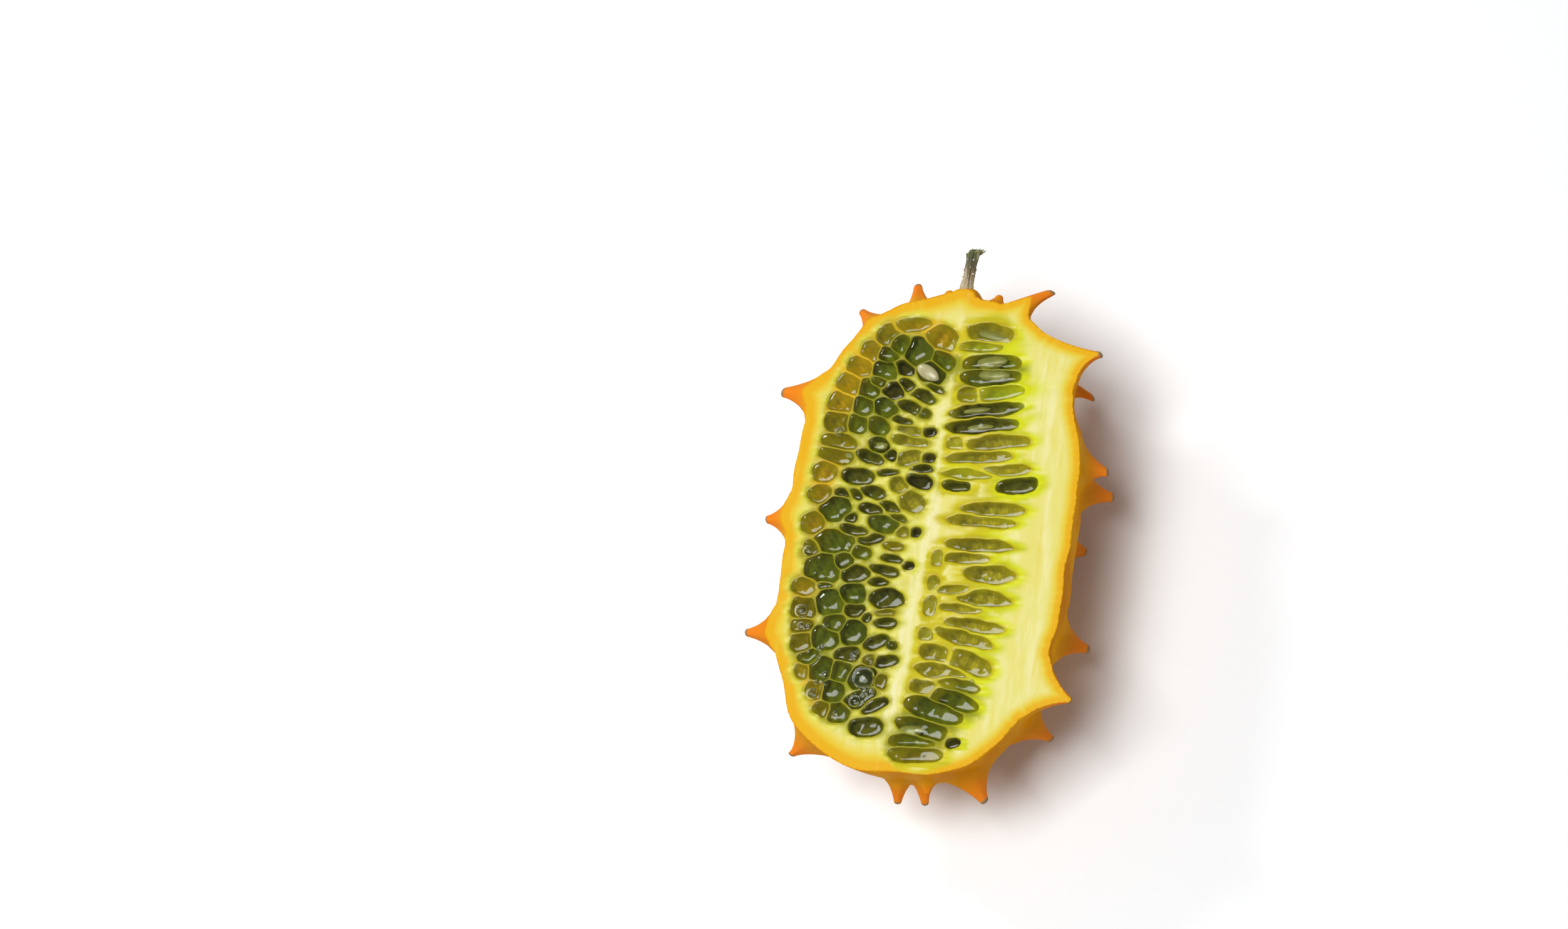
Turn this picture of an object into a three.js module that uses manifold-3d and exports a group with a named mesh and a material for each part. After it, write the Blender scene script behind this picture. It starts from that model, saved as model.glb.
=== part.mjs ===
// Half of a horned melon, cut lengthwise through its middle, lying on its horns with the cut face up.
//
// The rind and its flesh are one grown piece: a blunt oval with conical horns, scooped into two seed
// chambers on either side of a pale central wall. The chambers are filled with juicy seed sacs. Those of
// the right chamber lie along the cut, one thin sac beside the next. Those of the left chamber stand on
// end in rows, and each row is one solid here. A dry stem stands on the upper end, and one bare seed
// lies on the sacs.
//
// Millimetres. +X is across the fruit, +Y runs along it to the stem, +Z is up. The floor is z = 0.
import * as THREE from "three";
import { mergeVertices } from "three/addons/utils/BufferGeometryUtils.js";
import Module from "manifold-3d";

const wasm = await Module();
wasm.setup();

// --- Driving dimensions ---

const HALF_LENGTH = 60; // from the middle of the cut face to either end of the rind, without horns
const RADIUS = 36; // of the rind at its middle, without horns
const STEM_END_BLUNTNESS = 2.4; // superellipse exponent: 2 is an ellipse, more is blunter
const BLOSSOM_END_BLUNTNESS = 2.8;
const CUT_HEIGHT = 41; // of the cut face above the floor
const MIDDLE = new THREE.Vector3(0.97, -4.45, CUT_HEIGHT); // middle of the cut face in the part's frame

const HORN_FOOT_RADIUS = 6.6;
const HORN_TIP_RADIUS = 1.15;

// each chamber's radius, half length, depth and how far its middle is from the fruit's middle, to the stem
const LEFT_CHAMBER = { radius: 31.6, halfLength: 53, depth: 14, middle: 1.5 };
const RIGHT_CHAMBER = { radius: 24.3, halfLength: 55.5, depth: 9, middle: -1.5 };
const CHAMBER_BLUNTNESS = 2.9;
const WALL_THICKNESS = 4.6; // of the pale central wall between the chambers
const WALL_LEAN = 1.4; // degrees: the wall drifts to the left towards the blossom end
const WALL_OFFSET = -0.7; // of the wall's middle from the middle of the cut face

const CLEARANCE = 0.3; // between neighbouring solids
const SAC_TOP_DROP = 0.2; // the sacs' tops lie this far under the cut face
const RIGHT_SACS = 27;
const LEFT_ROWS = 18;

const COLLAR = { radius: 4.2, topRadius: 3.0, height: 2.1 }; // raised ring of rind round the stem
const STEM = { length: 10.6, baseRadius: 2.0, neckRadius: 1.3, tipRadius: 1.7, drop: 3.2, start: -0.9, bend: 0.3 };
const SEED = { length: 6.4, width: 3.6, thickness: 1.6, x: -6.0, y: 39.8, turn: -28 };

// Each horn: its place along the fruit, its angle round the fruit (0 is the right edge of the cut face,
// 90 straight down, 180 the left edge), its length, and how far it leans to the stem end, in degrees.
const HORNS = [
  // along the left edge, just under the cut face
  [58, 150, 7.6, 0],
  [51, 166, 8.4, -4],
  [31.5, 174, 10.6, -10],
  [1, 174, 8.2, 0],
  [-27, 174, 9.2, 6],
  [-51, 157, 9.0, 8],
  // along the right edge; those within a few degrees of it are sliced by the cut
  [57.5, 6, 8.4, -16],
  [45, 1, 9.2, -18],
  [48, 36, 7.0, 0],
  [43, 32, 7.2, -34],
  [21, 13, 6.2, -14],
  [17, 27, 9.4, -4],
  [-20, 31, 8.8, 0],
  [-36, 1, 9.8, -1],
  [-40.5, 38, 9.0, 4],
  [-54, 33, 8.6, 0],
  // on the blossom end
  [-58, 76, 6.6, 8],
  [-57.5, 100, 6.4, 6],
  [-59, 60, 3.2, 0],
  // on the lower right side
  [27.5, 51, 8.2, 0],
  [6, 47, 8.6, 0],
  [-6, 62, 7.2, 0],
  [51, 72, 7.6, 0],
  [-44, 66, 7.4, 0],
  // the four that the fruit stands on
  [23, 70, 10.0, 0],
  [-26, 70, 9.8, 0],
  [28, 111, 11.6, 0],
  [-21, 110, 9.2, 0],
  // on the underside and the lower left side
  [2, 96, 4.2, 0],
  [47, 104, 6.4, 0],
  [-44, 96, 5.6, 0],
  [41, 138, 8.4, 0],
  [15, 143, 8.8, 0],
  [-6, 136, 8.2, 0],
  [-34, 141, 8.6, 0],
  [-47, 128, 7.2, 0],
];

// --- Solids ---

/** A closed three.js geometry as a manifold-3d solid. */
function solid(geometry) {
  const bare = geometry.clone();
  bare.deleteAttribute("normal");
  bare.deleteAttribute("uv");
  const merged = mergeVertices(bare, 1e-4);
  return new wasm.Manifold(
    new wasm.Mesh({
      numProp: 3,
      vertProperties: merged.attributes.position.array,
      triVerts: new Uint32Array(merged.index.array),
    }),
  );
}

/** A solid as a named three.js mesh, moved from the cut face's middle into the part's frame. */
function node(name, shape, material) {
  const mesh = shape.getMesh();
  const geometry = new THREE.BufferGeometry();
  geometry.setAttribute("position", new THREE.BufferAttribute(new Float32Array(mesh.vertProperties), 3));
  geometry.setIndex(new THREE.BufferAttribute(new Uint32Array(mesh.triVerts), 1));
  geometry.computeVertexNormals();
  const made = new THREE.Mesh(geometry, material);
  made.name = name;
  made.position.copy(MIDDLE);
  return made;
}

/** A closed surface through rings of points, with a fan at each end. */
function loft(rings) {
  const sides = rings[0].length;
  const points = rings.flat();
  const faces = [];
  for (let r = 0; r + 1 < rings.length; r += 1) {
    for (let s = 0; s < sides; s += 1) {
      const a = r * sides + s;
      const b = r * sides + ((s + 1) % sides);
      faces.push(a, b, b + sides, a, b + sides, a + sides);
    }
  }
  for (let s = 1; s + 1 < sides; s += 1) {
    const last = (rings.length - 1) * sides;
    faces.push(0, s + 1, s);
    faces.push(last, last + s, last + s + 1);
  }
  const geometry = new THREE.BufferGeometry().setFromPoints(points);
  geometry.setIndex(faces);
  return geometry;
}

/** The radius at a place along a blunt oval, as a share of its middle radius. */
function bluntShare(y, halfLength, bluntness) {
  const left = 1 - Math.abs(y / halfLength) ** bluntness;
  return Math.max(left, 0) ** (1 / bluntness);
}

/** A blunt oval turned round the Y axis, with its middle at a place along it. */
function oval(radius, halfLength, stemBluntness, blossomBluntness, middle, rings, sides) {
  const profile = [];
  for (let i = 0; i <= rings; i += 1) {
    const y = -halfLength * Math.cos((Math.PI * i) / rings);
    const bluntness = y > 0 ? stemBluntness : blossomBluntness;
    const atEnd = i === 0 || i === rings;
    profile.push(new THREE.Vector2(atEnd ? 0 : radius * bluntShare(y, halfLength, bluntness), y));
  }
  return solid(new THREE.LatheGeometry(profile, sides).translate(0, middle, 0));
}

/** A box between two corners. */
function block(low, high) {
  const size = new THREE.Vector3().subVectors(high, low);
  const centre = new THREE.Vector3().addVectors(low, high).multiplyScalar(0.5);
  return solid(new THREE.BoxGeometry(size.x, size.y, size.z).translate(centre.x, centre.y, centre.z));
}

// --- Rind and flesh ---

/** The point on the bare rind at a place along the fruit and an angle round it, and its outward normal. */
function rindPoint(y, degrees) {
  const angle = THREE.MathUtils.degToRad(degrees);
  const bluntness = y > 0 ? STEM_END_BLUNTNESS : BLOSSOM_END_BLUNTNESS;
  const share = bluntShare(y, HALF_LENGTH, bluntness);
  const across = new THREE.Vector3(Math.cos(angle), 0, -Math.sin(angle));
  const point = across.clone().multiplyScalar(RADIUS * share).setY(y);
  const normal = across.multiplyScalar(share ** (bluntness - 1) / RADIUS);
  normal.y = (Math.sign(y) * Math.abs(y / HALF_LENGTH) ** (bluntness - 1)) / HALF_LENGTH;
  return { point, normal: normal.normalize() };
}

/** One horn: a cone with a flared foot and a blunt tip, sunk a little into the rind. */
function horn([y, degrees, length, lean]) {
  const { point, normal } = rindPoint(y, degrees);
  const round = new THREE.Vector3(0, 1, 0).cross(normal).normalize();
  const along = new THREE.Vector3().crossVectors(normal, round);
  const direction = normal.clone().addScaledVector(along, Math.tan(THREE.MathUtils.degToRad(lean)));
  const profile = [
    [0, -3],
    [HORN_FOOT_RADIUS, -1.5],
    [0.62 * HORN_FOOT_RADIUS, 0.1 * length],
    [0.4 * HORN_FOOT_RADIUS, 0.36 * length],
    [0.26 * HORN_FOOT_RADIUS, 0.7 * length],
    [HORN_TIP_RADIUS, 0.96 * length],
    [0, length],
  ];
  const lathe = new THREE.LatheGeometry(
    profile.map(([radius, height]) => new THREE.Vector2(radius, height)),
    8,
  );
  const turn = new THREE.Quaternion().setFromUnitVectors(new THREE.Vector3(0, 1, 0), direction.normalize());
  lathe.applyQuaternion(turn);
  lathe.translate(point.x, point.y, point.z);
  return solid(lathe);
}

/** The raised ring of rind that the stem stands in. */
function collar() {
  const foot = HALF_LENGTH - 1.5;
  const top = HALF_LENGTH + COLLAR.height;
  const profile = [
    [0, foot],
    [COLLAR.radius + 1.2, foot],
    [COLLAR.topRadius, top],
    [0, top],
  ];
  const lathe = new THREE.LatheGeometry(
    profile.map(([radius, height]) => new THREE.Vector2(radius, height)),
    12,
  );
  return solid(lathe.translate(STEM.start, 0, -STEM.drop));
}

/** The middle of the central wall at a place along the fruit. */
function wallMiddle(y) {
  return WALL_OFFSET + y * Math.tan(THREE.MathUtils.degToRad(WALL_LEAN));
}

/** One seed chamber, from the cut face down. side is -1 for the left and 1 for the right. */
function chamber(size, side, clearance) {
  const inner = oval(
    size.radius - clearance,
    size.halfLength - clearance,
    CHAMBER_BLUNTNESS,
    CHAMBER_BLUNTNESS,
    size.middle,
    18,
    32,
  );
  const reach = HALF_LENGTH;
  const wallSide = (y) => wallMiddle(y) + side * (WALL_THICKNESS / 2 + clearance);
  const outline = new THREE.Shape([
    new THREE.Vector2(wallSide(-reach), -reach),
    new THREE.Vector2(side * reach, -reach),
    new THREE.Vector2(side * reach, reach),
    new THREE.Vector2(wallSide(reach), reach),
  ]);
  const top = clearance > 0 ? -SAC_TOP_DROP : 1;
  const floor = -size.depth + clearance;
  const slab = new THREE.ExtrudeGeometry(outline, { depth: top - floor, bevelEnabled: false });
  return inner.intersect(solid(slab.translate(0, 0, floor)));
}

function rindAndFlesh() {
  const reach = 2 * HALF_LENGTH;
  let fruit = oval(RADIUS, HALF_LENGTH, STEM_END_BLUNTNESS, BLOSSOM_END_BLUNTNESS, 0, 26, 40).add(collar());
  for (const place of HORNS) {
    fruit = fruit.add(horn(place));
  }
  const aboveCut = block(new THREE.Vector3(-reach, -reach, 0), new THREE.Vector3(reach, reach, reach));
  const floor = -CUT_HEIGHT;
  const belowFloor = block(new THREE.Vector3(-reach, -reach, -reach), new THREE.Vector3(reach, reach, floor));
  return fruit
    .subtract(aboveCut)
    .subtract(belowFloor)
    .subtract(chamber(LEFT_CHAMBER, -1, 0))
    .subtract(chamber(RIGHT_CHAMBER, 1, 0));
}

// --- Seed sacs ---

/** The lean of the sacs at a place along the fruit, in degrees: they fan out from the central wall. */
const rightLean = (y) => 0.21 * y - 4;
const leftLean = (y) => -0.2 * y - 4;

/** Splits a chamber into sacs side by side along the fruit, each clear of the next. */
function sacs(size, side, count, lean) {
  const room = chamber(size, side, CLEARANCE);
  const pitch = (2 * size.halfLength) / count;
  const border = (k, x) => {
    const y = size.middle - size.halfLength + k * pitch;
    return y + x * Math.tan(THREE.MathUtils.degToRad(lean(y)));
  };
  const reach = side * RADIUS;
  const made = [];
  for (let k = 0; k < count; k += 1) {
    const first = k === 0;
    const last = k === count - 1;
    const low = (x) => (first ? -2 * HALF_LENGTH : border(k, x) + CLEARANCE / 2);
    const high = (x) => (last ? 2 * HALF_LENGTH : border(k + 1, x) - CLEARANCE / 2);
    const outline = new THREE.Shape([
      new THREE.Vector2(-0.2 * reach, low(-0.2 * reach)),
      new THREE.Vector2(reach, low(reach)),
      new THREE.Vector2(reach, high(reach)),
      new THREE.Vector2(-0.2 * reach, high(-0.2 * reach)),
    ]);
    const slice = new THREE.ExtrudeGeometry(outline, { depth: 2 * size.depth, bevelEnabled: false });
    made.push(room.intersect(solid(slice.translate(0, 0, -size.depth - 1))));
  }
  return made;
}

// --- Stem and bare seed ---

/** The dry stem: a ridged stalk that narrows above its foot and bends over to a wider cut end. */
function stem() {
  const sides = 10;
  const rings = 7;
  const start = HALF_LENGTH + COLLAR.height + CLEARANCE;
  const sections = [];
  for (let r = 0; r < rings; r += 1) {
    const t = r / (rings - 1);
    const foot = (STEM.baseRadius - STEM.neckRadius) * (1 - t) ** 3;
    const head = (STEM.tipRadius - STEM.neckRadius) * t ** 3;
    const radius = STEM.neckRadius + foot + head;
    const section = [];
    for (let s = 0; s < sides; s += 1) {
      const angle = (2 * Math.PI * s) / sides;
      const ridge = s % 2 ? 0.86 : 1;
      section.push(
        new THREE.Vector3(
          STEM.start + STEM.bend * t ** 1.3 + radius * ridge * Math.cos(angle),
          start + STEM.length * t,
          -STEM.drop - radius * ridge * Math.sin(angle),
        ),
      );
    }
    sections.push(section);
  }
  return solid(loft(sections));
}

/** A flat oval seed with one pointed end. */
function bareSeed() {
  const geometry = new THREE.SphereGeometry(1, 12, 8);
  const place = geometry.attributes.position;
  for (let i = 0; i < place.count; i += 1) {
    const x = place.getX(i);
    const narrowed = 1 - 0.35 * Math.max(x, 0) ** 2;
    place.setY(i, place.getY(i) * narrowed);
  }
  geometry.scale(SEED.length / 2, SEED.width / 2, SEED.thickness / 2);
  geometry.rotateZ(THREE.MathUtils.degToRad(SEED.turn));
  geometry.translate(SEED.x, SEED.y, SEED.thickness / 2 + CLEARANCE - SAC_TOP_DROP);
  return solid(geometry);
}

// --- Assembly ---

const colour = (hex, roughness) => new THREE.MeshStandardMaterial({ color: hex, roughness, metalness: 0 });
const rindColour = colour(0xf2a41c, 0.45);
const sacColour = colour(0x5c6b16, 0.15);
const stemColour = colour(0x8a7c5a, 0.9);
const seedColour = colour(0xd9cf9e, 0.4);

const melonHalf = new THREE.Group();
melonHalf.add(node("rind_and_flesh", rindAndFlesh(), rindColour));
melonHalf.add(node("stem", stem(), stemColour));
melonHalf.add(node("bare_seed", bareSeed(), seedColour));
const numbered = (name, index) => `${name}_${String(index + 1).padStart(2, "0")}`;
sacs(RIGHT_CHAMBER, 1, RIGHT_SACS, rightLean).forEach((shape, index) => {
  melonHalf.add(node(numbered("right_sac", index), shape, sacColour));
});
sacs(LEFT_CHAMBER, -1, LEFT_ROWS, leftLean).forEach((shape, index) => {
  melonHalf.add(node(numbered("left_sac_row", index), shape, sacColour));
});

export default melonHalf;
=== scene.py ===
"""Half of a horned melon, cut lengthwise, lying on its horns with the cut face up.

Shapes are worked out in millimetres about the middle of the cut face, with +X across the fruit, +Y along it
to the stem and +Z up, and are turned into metres in the part's frame when a mesh is made.
"""

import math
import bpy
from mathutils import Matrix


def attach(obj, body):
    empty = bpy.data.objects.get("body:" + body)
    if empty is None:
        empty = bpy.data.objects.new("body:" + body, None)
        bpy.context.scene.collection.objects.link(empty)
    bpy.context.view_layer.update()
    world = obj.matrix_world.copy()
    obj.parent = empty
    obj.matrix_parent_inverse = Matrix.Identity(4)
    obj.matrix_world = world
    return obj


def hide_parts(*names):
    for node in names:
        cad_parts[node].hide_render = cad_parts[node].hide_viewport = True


bl_info = {
    "name": "Horned melon half",
    "version": (1, 0, 0),
    "blender": (4, 5, 0),
    "location": "3D View > Sidebar > Melon",
    "description": "Builds the rind, flesh, seed sacs, seeds and stem of a cut horned melon, and its studio",
    "category": "Object",
}

import bmesh
import bpy
import numpy as np
from bpy.props import FloatProperty, FloatVectorProperty, PointerProperty
from mathutils import Matrix, Vector
from mathutils.geometry import delaunay_2d_cdt

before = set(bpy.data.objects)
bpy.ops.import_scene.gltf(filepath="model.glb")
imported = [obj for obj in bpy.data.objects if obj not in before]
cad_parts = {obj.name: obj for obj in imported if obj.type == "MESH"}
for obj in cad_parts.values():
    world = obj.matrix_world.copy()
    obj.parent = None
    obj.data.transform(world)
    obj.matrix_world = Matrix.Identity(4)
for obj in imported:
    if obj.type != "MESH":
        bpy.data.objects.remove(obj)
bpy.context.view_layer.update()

# The middle of the cut face in the part's frame.
MIDDLE = np.array([0.97, -4.45, 41.0])
RIGHT_NODES = sorted(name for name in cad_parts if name.startswith("right_sac_"))
LEFT_NODES = sorted(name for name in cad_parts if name.startswith("left_sac_row_"))

# Each horn: its place along the fruit, its angle round the fruit (0 is the right edge of the cut face,
# 90 straight down, 180 the left edge), its length, its lean to the stem end in degrees and the radius of its
# foot.
HORNS = [
    # along the left edge, just under the cut face
    (57, 152, 7.8, 10, 7.0), (51, 166, 8.2, -4, 8.6), (31.5, 174, 10.6, -10, 7.0), (1, 174, 8.2, 0, 6.8),
    (-27, 174, 9.2, 6, 7.0), (-51, 157, 9.0, 8, 7.6),
    # along the right edge; those within a few degrees of it are sliced by the cut
    (57.5, 6, 9.0, -29, 7.6), (45, 1, 9.2, -18, 8.4), (48, 36, 7.0, 0, 5.0), (43, 32, 7.2, -34, 6.0),
    (21, 13, 6.2, -14, 6.4), (17, 27, 9.4, -4, 7.6), (-20, 31, 8.8, 0, 7.4), (-36, 1, 9.8, -1, 8.4),
    (-40.5, 38, 9.0, 4, 7.2), (-55, 42, 8.6, 0, 7.4),
    # on the blossom end
    (-58, 76, 6.6, 8, 5.0), (-57.5, 100, 6.4, 6, 5.0), (-59, 60, 3.2, 0, 3.6),
    # on the lower right side
    (27.5, 51, 8.2, 0, 6.8), (6, 47, 8.6, 0, 7.2), (-6, 62, 7.2, 0, 6.6), (51, 72, 7.6, 0, 6.6),
    (-44, 66, 7.4, 0, 6.6),
    # the four that the fruit stands on
    (23, 70, 10.0, 0, 7.4), (-26, 70, 9.8, 0, 7.4), (28, 111, 11.6, 0, 7.4), (-21, 110, 9.2, 0, 7.4),
    # on the underside and the lower left side
    (2, 96, 4.2, 0, 5.6), (47, 104, 6.4, 0, 6.4), (-44, 96, 5.6, 0, 6.0), (41, 138, 8.4, 0, 7.0),
    (15, 143, 8.8, 0, 7.2), (-6, 136, 8.2, 0, 7.0), (-34, 141, 8.6, 0, 7.2), (-47, 128, 7.2, 0, 6.6),
    # low bumps round the stem
    (59.7, 150, 2.4, 0, 2.6), (59.3, 20, 3.0, 0, 2.8), (59.2, 118, 2.4, 0, 2.6), (59.3, 72, 2.4, 0, 2.6),
]

HORN_FLARE = 1.22  # each horn's foot spreads this much wider than the radius in its row
HORN_CAP = 0.15  # the share of a horn's foot that its round tip takes up
# Two wide swellings on the left: how high, where along the fruit, how long, and where across the fruit each
# starts and is full.
SWELLINGS = ((0.034, 43.0, 11.0, 5.0, -15.0), (0.045, 25.0, 12.0, 0.0, -20.0))
STEM_FOOT = (-0.9, 60.4, -3.2)
STEM_HEIGHT = 12.4
STEM_DRIFT = 0.5  # how far the stem's top bends to the right
STRAND_HEIGHT = 12.0  # where the frayed strands leave the stem
FRAYED_STRANDS = 34
HAIRS = 70
COLLAR_HEIGHT = 2.2
TOP_KEPT = 10.5  # the rind is shaped to this far above the cut plane, so that sliced horns have both sides


# --- What a user would change ---


def colour_property(name, description, default):
    """A colour that a user may change."""
    return FloatVectorProperty(
        name=name, description=description, default=default, size=3, subtype="COLOR", min=0.0, max=1.0
    )


def number_property(name, description, default, least=0.0, unit="NONE"):
    """A number that a user may change."""
    return FloatProperty(name=name, description=description, default=default, min=least, unit=unit)


class MelonBody(bpy.types.PropertyGroup):
    """The fruit without its horns. Lengths are in metres."""

    half_length: number_property("Half length", "From the middle to either end", 0.060, 0.03, "LENGTH")
    radius: number_property("Radius", "Radius of the rind at its middle", 0.036, 0.02, "LENGTH")
    stem_end_bluntness: number_property("Stem end bluntness", "2 is an ellipse", 2.4, 2.0)
    blossom_end_bluntness: number_property("Blossom end bluntness", "2 is an ellipse", 2.8, 2.0)
    waviness: number_property("Waviness", "How far the rind swells and dips", 0.0007, 0.0, "LENGTH")
    horn_tip: number_property("Horn tip radius", "Radius of a horn's blunt tip", 0.00105, 0.0003, "LENGTH")


class MelonColours(bpy.types.PropertyGroup):
    """Colours of the rind and flesh."""

    rind: colour_property("Rind", "The waxy skin between the horns", (0.64, 0.22, 0.002))
    horn: colour_property("Horn", "The upper part of a horn", (0.76, 0.21, 0.014))
    cork: colour_property("Horn tip", "The dry cork on a horn's tip", (0.27, 0.18, 0.085))
    skin_edge: colour_property("Skin edge", "The thin cut edge of the skin", (0.705, 0.275, 0.0026))
    golden_flesh: colour_property("Golden flesh", "Flesh just inside the skin", (0.705, 0.378, 0.0052))
    outer_flesh: colour_property("Outer flesh", "Flesh a little way in from the skin", (0.688, 0.516, 0.039))
    inner_flesh: colour_property("Inner flesh", "Flesh next to the seed chambers", (0.688, 0.619, 0.163))
    pale_flesh: colour_property("Pale flesh", "The fibres that run along the fruit", (0.757, 0.705, 0.344))
    wall: colour_property("Central wall", "The pale wall between the chambers", (0.757, 0.705, 0.378))
    membrane: colour_property("Membrane", "The thin walls between the left sacs", (0.36, 0.325, 0.005))
    corner: colour_property("Corner", "Where three or more thin walls meet", (0.62, 0.59, 0.06))
    glow: colour_property("Glow", "The soft flesh between the right sacs", (0.55, 0.47, 0.006))
    lime: colour_property("Lime flesh", "Bright flesh round the right sacs' outer ends", (0.60, 0.62, 0.002))


class MelonSacs(bpy.types.PropertyGroup):
    """The juicy sacs round the seeds. Each kind's colour is that of the bed under its clear juice; the deep
    kind's colour is painted shade.
    """

    amber: colour_property("Amber sac", "Soft sacs along the outer flesh", (0.46, 0.265, 0.0008))
    olive: colour_property("Olive sac", "Soft sacs that hold a seed deep down", (0.24, 0.17, 0.0005))
    green: colour_property("Green sac", "Sacs with clear dark green juice", (0.105, 0.12, 0.001))
    bulge: colour_property("Bulging sac", "Sacs that stand out of the cut", (0.095, 0.11, 0.001))
    dark: colour_property("Dark sac", "Deep sacs with crisp edges", (0.088, 0.082, 0.001))
    grey: colour_property("Grey sac", "Sacs with a ribbed seed near the cut", (0.43, 0.345, 0.016))
    pale: colour_property("Pale sac", "Shallow sacs beside the central wall", (0.46, 0.41, 0.025))
    lime: colour_property("Lime sac", "Shallow sacs with bright juice", (0.36, 0.40, 0.006))
    # painted shade: the deep sacs stand for empty pits, and this near-black colour paints the shade inside
    # them
    deep: colour_property("Deep sac", "The darkest sacs, beside the central wall", (0.045, 0.036, 0.001))
    shade: colour_property("Sac rim", "The amber rim inside a soft sac", (0.40, 0.30, 0.001))
    juice: colour_property("Juice", "Tint of the light that passes through the juice", (0.80, 0.88, 0.40))
    strength: number_property("Juice depth", "How fast the juice darkens with depth, per metre", 60.0)
    seed: colour_property("Seed", "Colour of the bare seed", (0.38, 0.335, 0.17))
    inner_seed: colour_property("Inner seed", "Colour of a seed inside its sac", (0.30, 0.29, 0.05))


class MelonStudio(bpy.types.PropertyGroup):
    """Floor, lights and camera."""

    floor: colour_property("Floor", "Colour of the floor", (0.92, 0.92, 0.915))
    key_power: number_property("Key light", "Power of the large light overhead", 13.9, 0.0, "POWER")
    side_power: number_property("Side light", "Power of the soft light at the left", 0.6, 0.0, "POWER")
    glint_power: number_property("Glint light", "Power of the small light on the juice", 1.9, 0.0, "POWER")
    sky: number_property("Sky", "Strength of the light from all round", 0.2)
    lens: number_property("Lens", "Focal length of the camera, in millimetres", 100.0, 20.0)


# --- Small tools ---


def spread(index, salt=0.0):
    """A repeatable number from 0 to 1 for a numbered piece."""
    value = math.sin(index * 12.9898 + salt * 78.233 + 1.7) * 43758.5453
    return value - math.floor(value)


def smooth(low, high, value):
    """Rises smoothly from 0 at low to 1 at high."""
    t = np.clip((value - low) / (high - low), 0.0, 1.0)
    return t * t * (3.0 - 2.0 * t)


def blunt_share(y, half_length, bluntness):
    """The radius at a place along a blunt oval, as a share of its middle radius."""
    return np.clip(1.0 - np.abs(y / half_length) ** bluntness, 0.0, None) ** (1.0 / bluntness)


def ripple(points, scale, seed=0.0):
    """A gentle wavy field from about -1 to 1 over an array of points in millimetres."""
    total = np.zeros(len(points))
    for k in range(6):
        turn = np.array([spread(k, seed + 1), spread(k, seed + 2), spread(k, seed + 3)]) - 0.5
        turn = turn / np.linalg.norm(turn) * (1.0 + 0.35 * k)
        phase = 6.283 * spread(k, seed + 4)
        total += np.sin(points @ turn * (2.4 / scale) + phase) / (1.0 + 0.35 * k)
    return total / 3.2


def make_object(name, points, faces, materials, smooth_faces=True):
    """A mesh object from points in millimetres about the cut face's middle, placed in the part's frame."""
    mesh = bpy.data.meshes.new(name)
    placed = (np.asarray(points, float) + MIDDLE) * 0.001
    mesh.from_pydata(placed.tolist(), [], faces if isinstance(faces, list) else faces.tolist())
    for material in materials:
        mesh.materials.append(material)
    if smooth_faces:
        mesh.polygons.foreach_set("use_smooth", [True] * len(mesh.polygons))
    mesh.update()
    piece = bpy.data.objects.new(name, mesh)
    bpy.context.scene.collection.objects.link(piece)
    return piece


def band_faces(start, sides, rings, turned=False):
    """Faces between rings of points that follow each other, seen from outside or, turned, from inside."""
    faces = []
    for first in range(start, start + (rings - 1) * sides, sides):
        for s in range(sides):
            t = (s + 1) % sides
            a, b, c, d = first + s, first + sides + s, first + sides + t, first + t
            faces.append((a, d, c, b) if turned else (a, b, c, d))
    return faces


def add_field(piece, name, values):
    """A number at each point of a mesh, which a material can read by its name."""
    attribute = piece.data.attributes.new(name, "FLOAT", "POINT")
    attribute.data.foreach_set("value", np.asarray(values, np.float32))


def add_colour(piece, name, values):
    """A colour at each point of a mesh, which a material can read by its name."""
    attribute = piece.data.attributes.new(name, "FLOAT_COLOR", "POINT")
    every = np.column_stack([values, np.ones(len(values))])
    attribute.data.foreach_set("color", every.astype(np.float32).ravel())


# --- Where the sacs lie ---

# Half the thickness of a wall between two sacs, and how far the sacs' outlines wander.
MEMBRANE = 0.2
WANDER = 0.45

# The middle of the central wall and half its width, at places along the fruit.
WALL_PLACES = (-54, -48, -40, -30, -20, -10, 0, 10, 20, 30, 40, 50, 58)
WALL_MIDDLES = (-3.4, -3.0, -1.6, -1.3, -1.0, -0.5, 0.7, 0.5, -0.5, -0.5, -0.5, 0.5, 1.0)
WALL_HALVES = (1.8, 2.0, 1.5, 2.2, 2.4, 2.5, 2.2, 1.6, 2.0, 2.5, 1.8, 1.6, 1.2)

# The CAD slices that the sacs belong to: their number, the chamber's ends, and how they lean.
RIGHT_SLICES = (len(RIGHT_NODES), -57.0, 54.0, lambda y: 0.21 * y - 4)
LEFT_SLICES = (len(LEFT_NODES), -51.5, 54.5, lambda y: -0.2 * y - 4)

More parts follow.
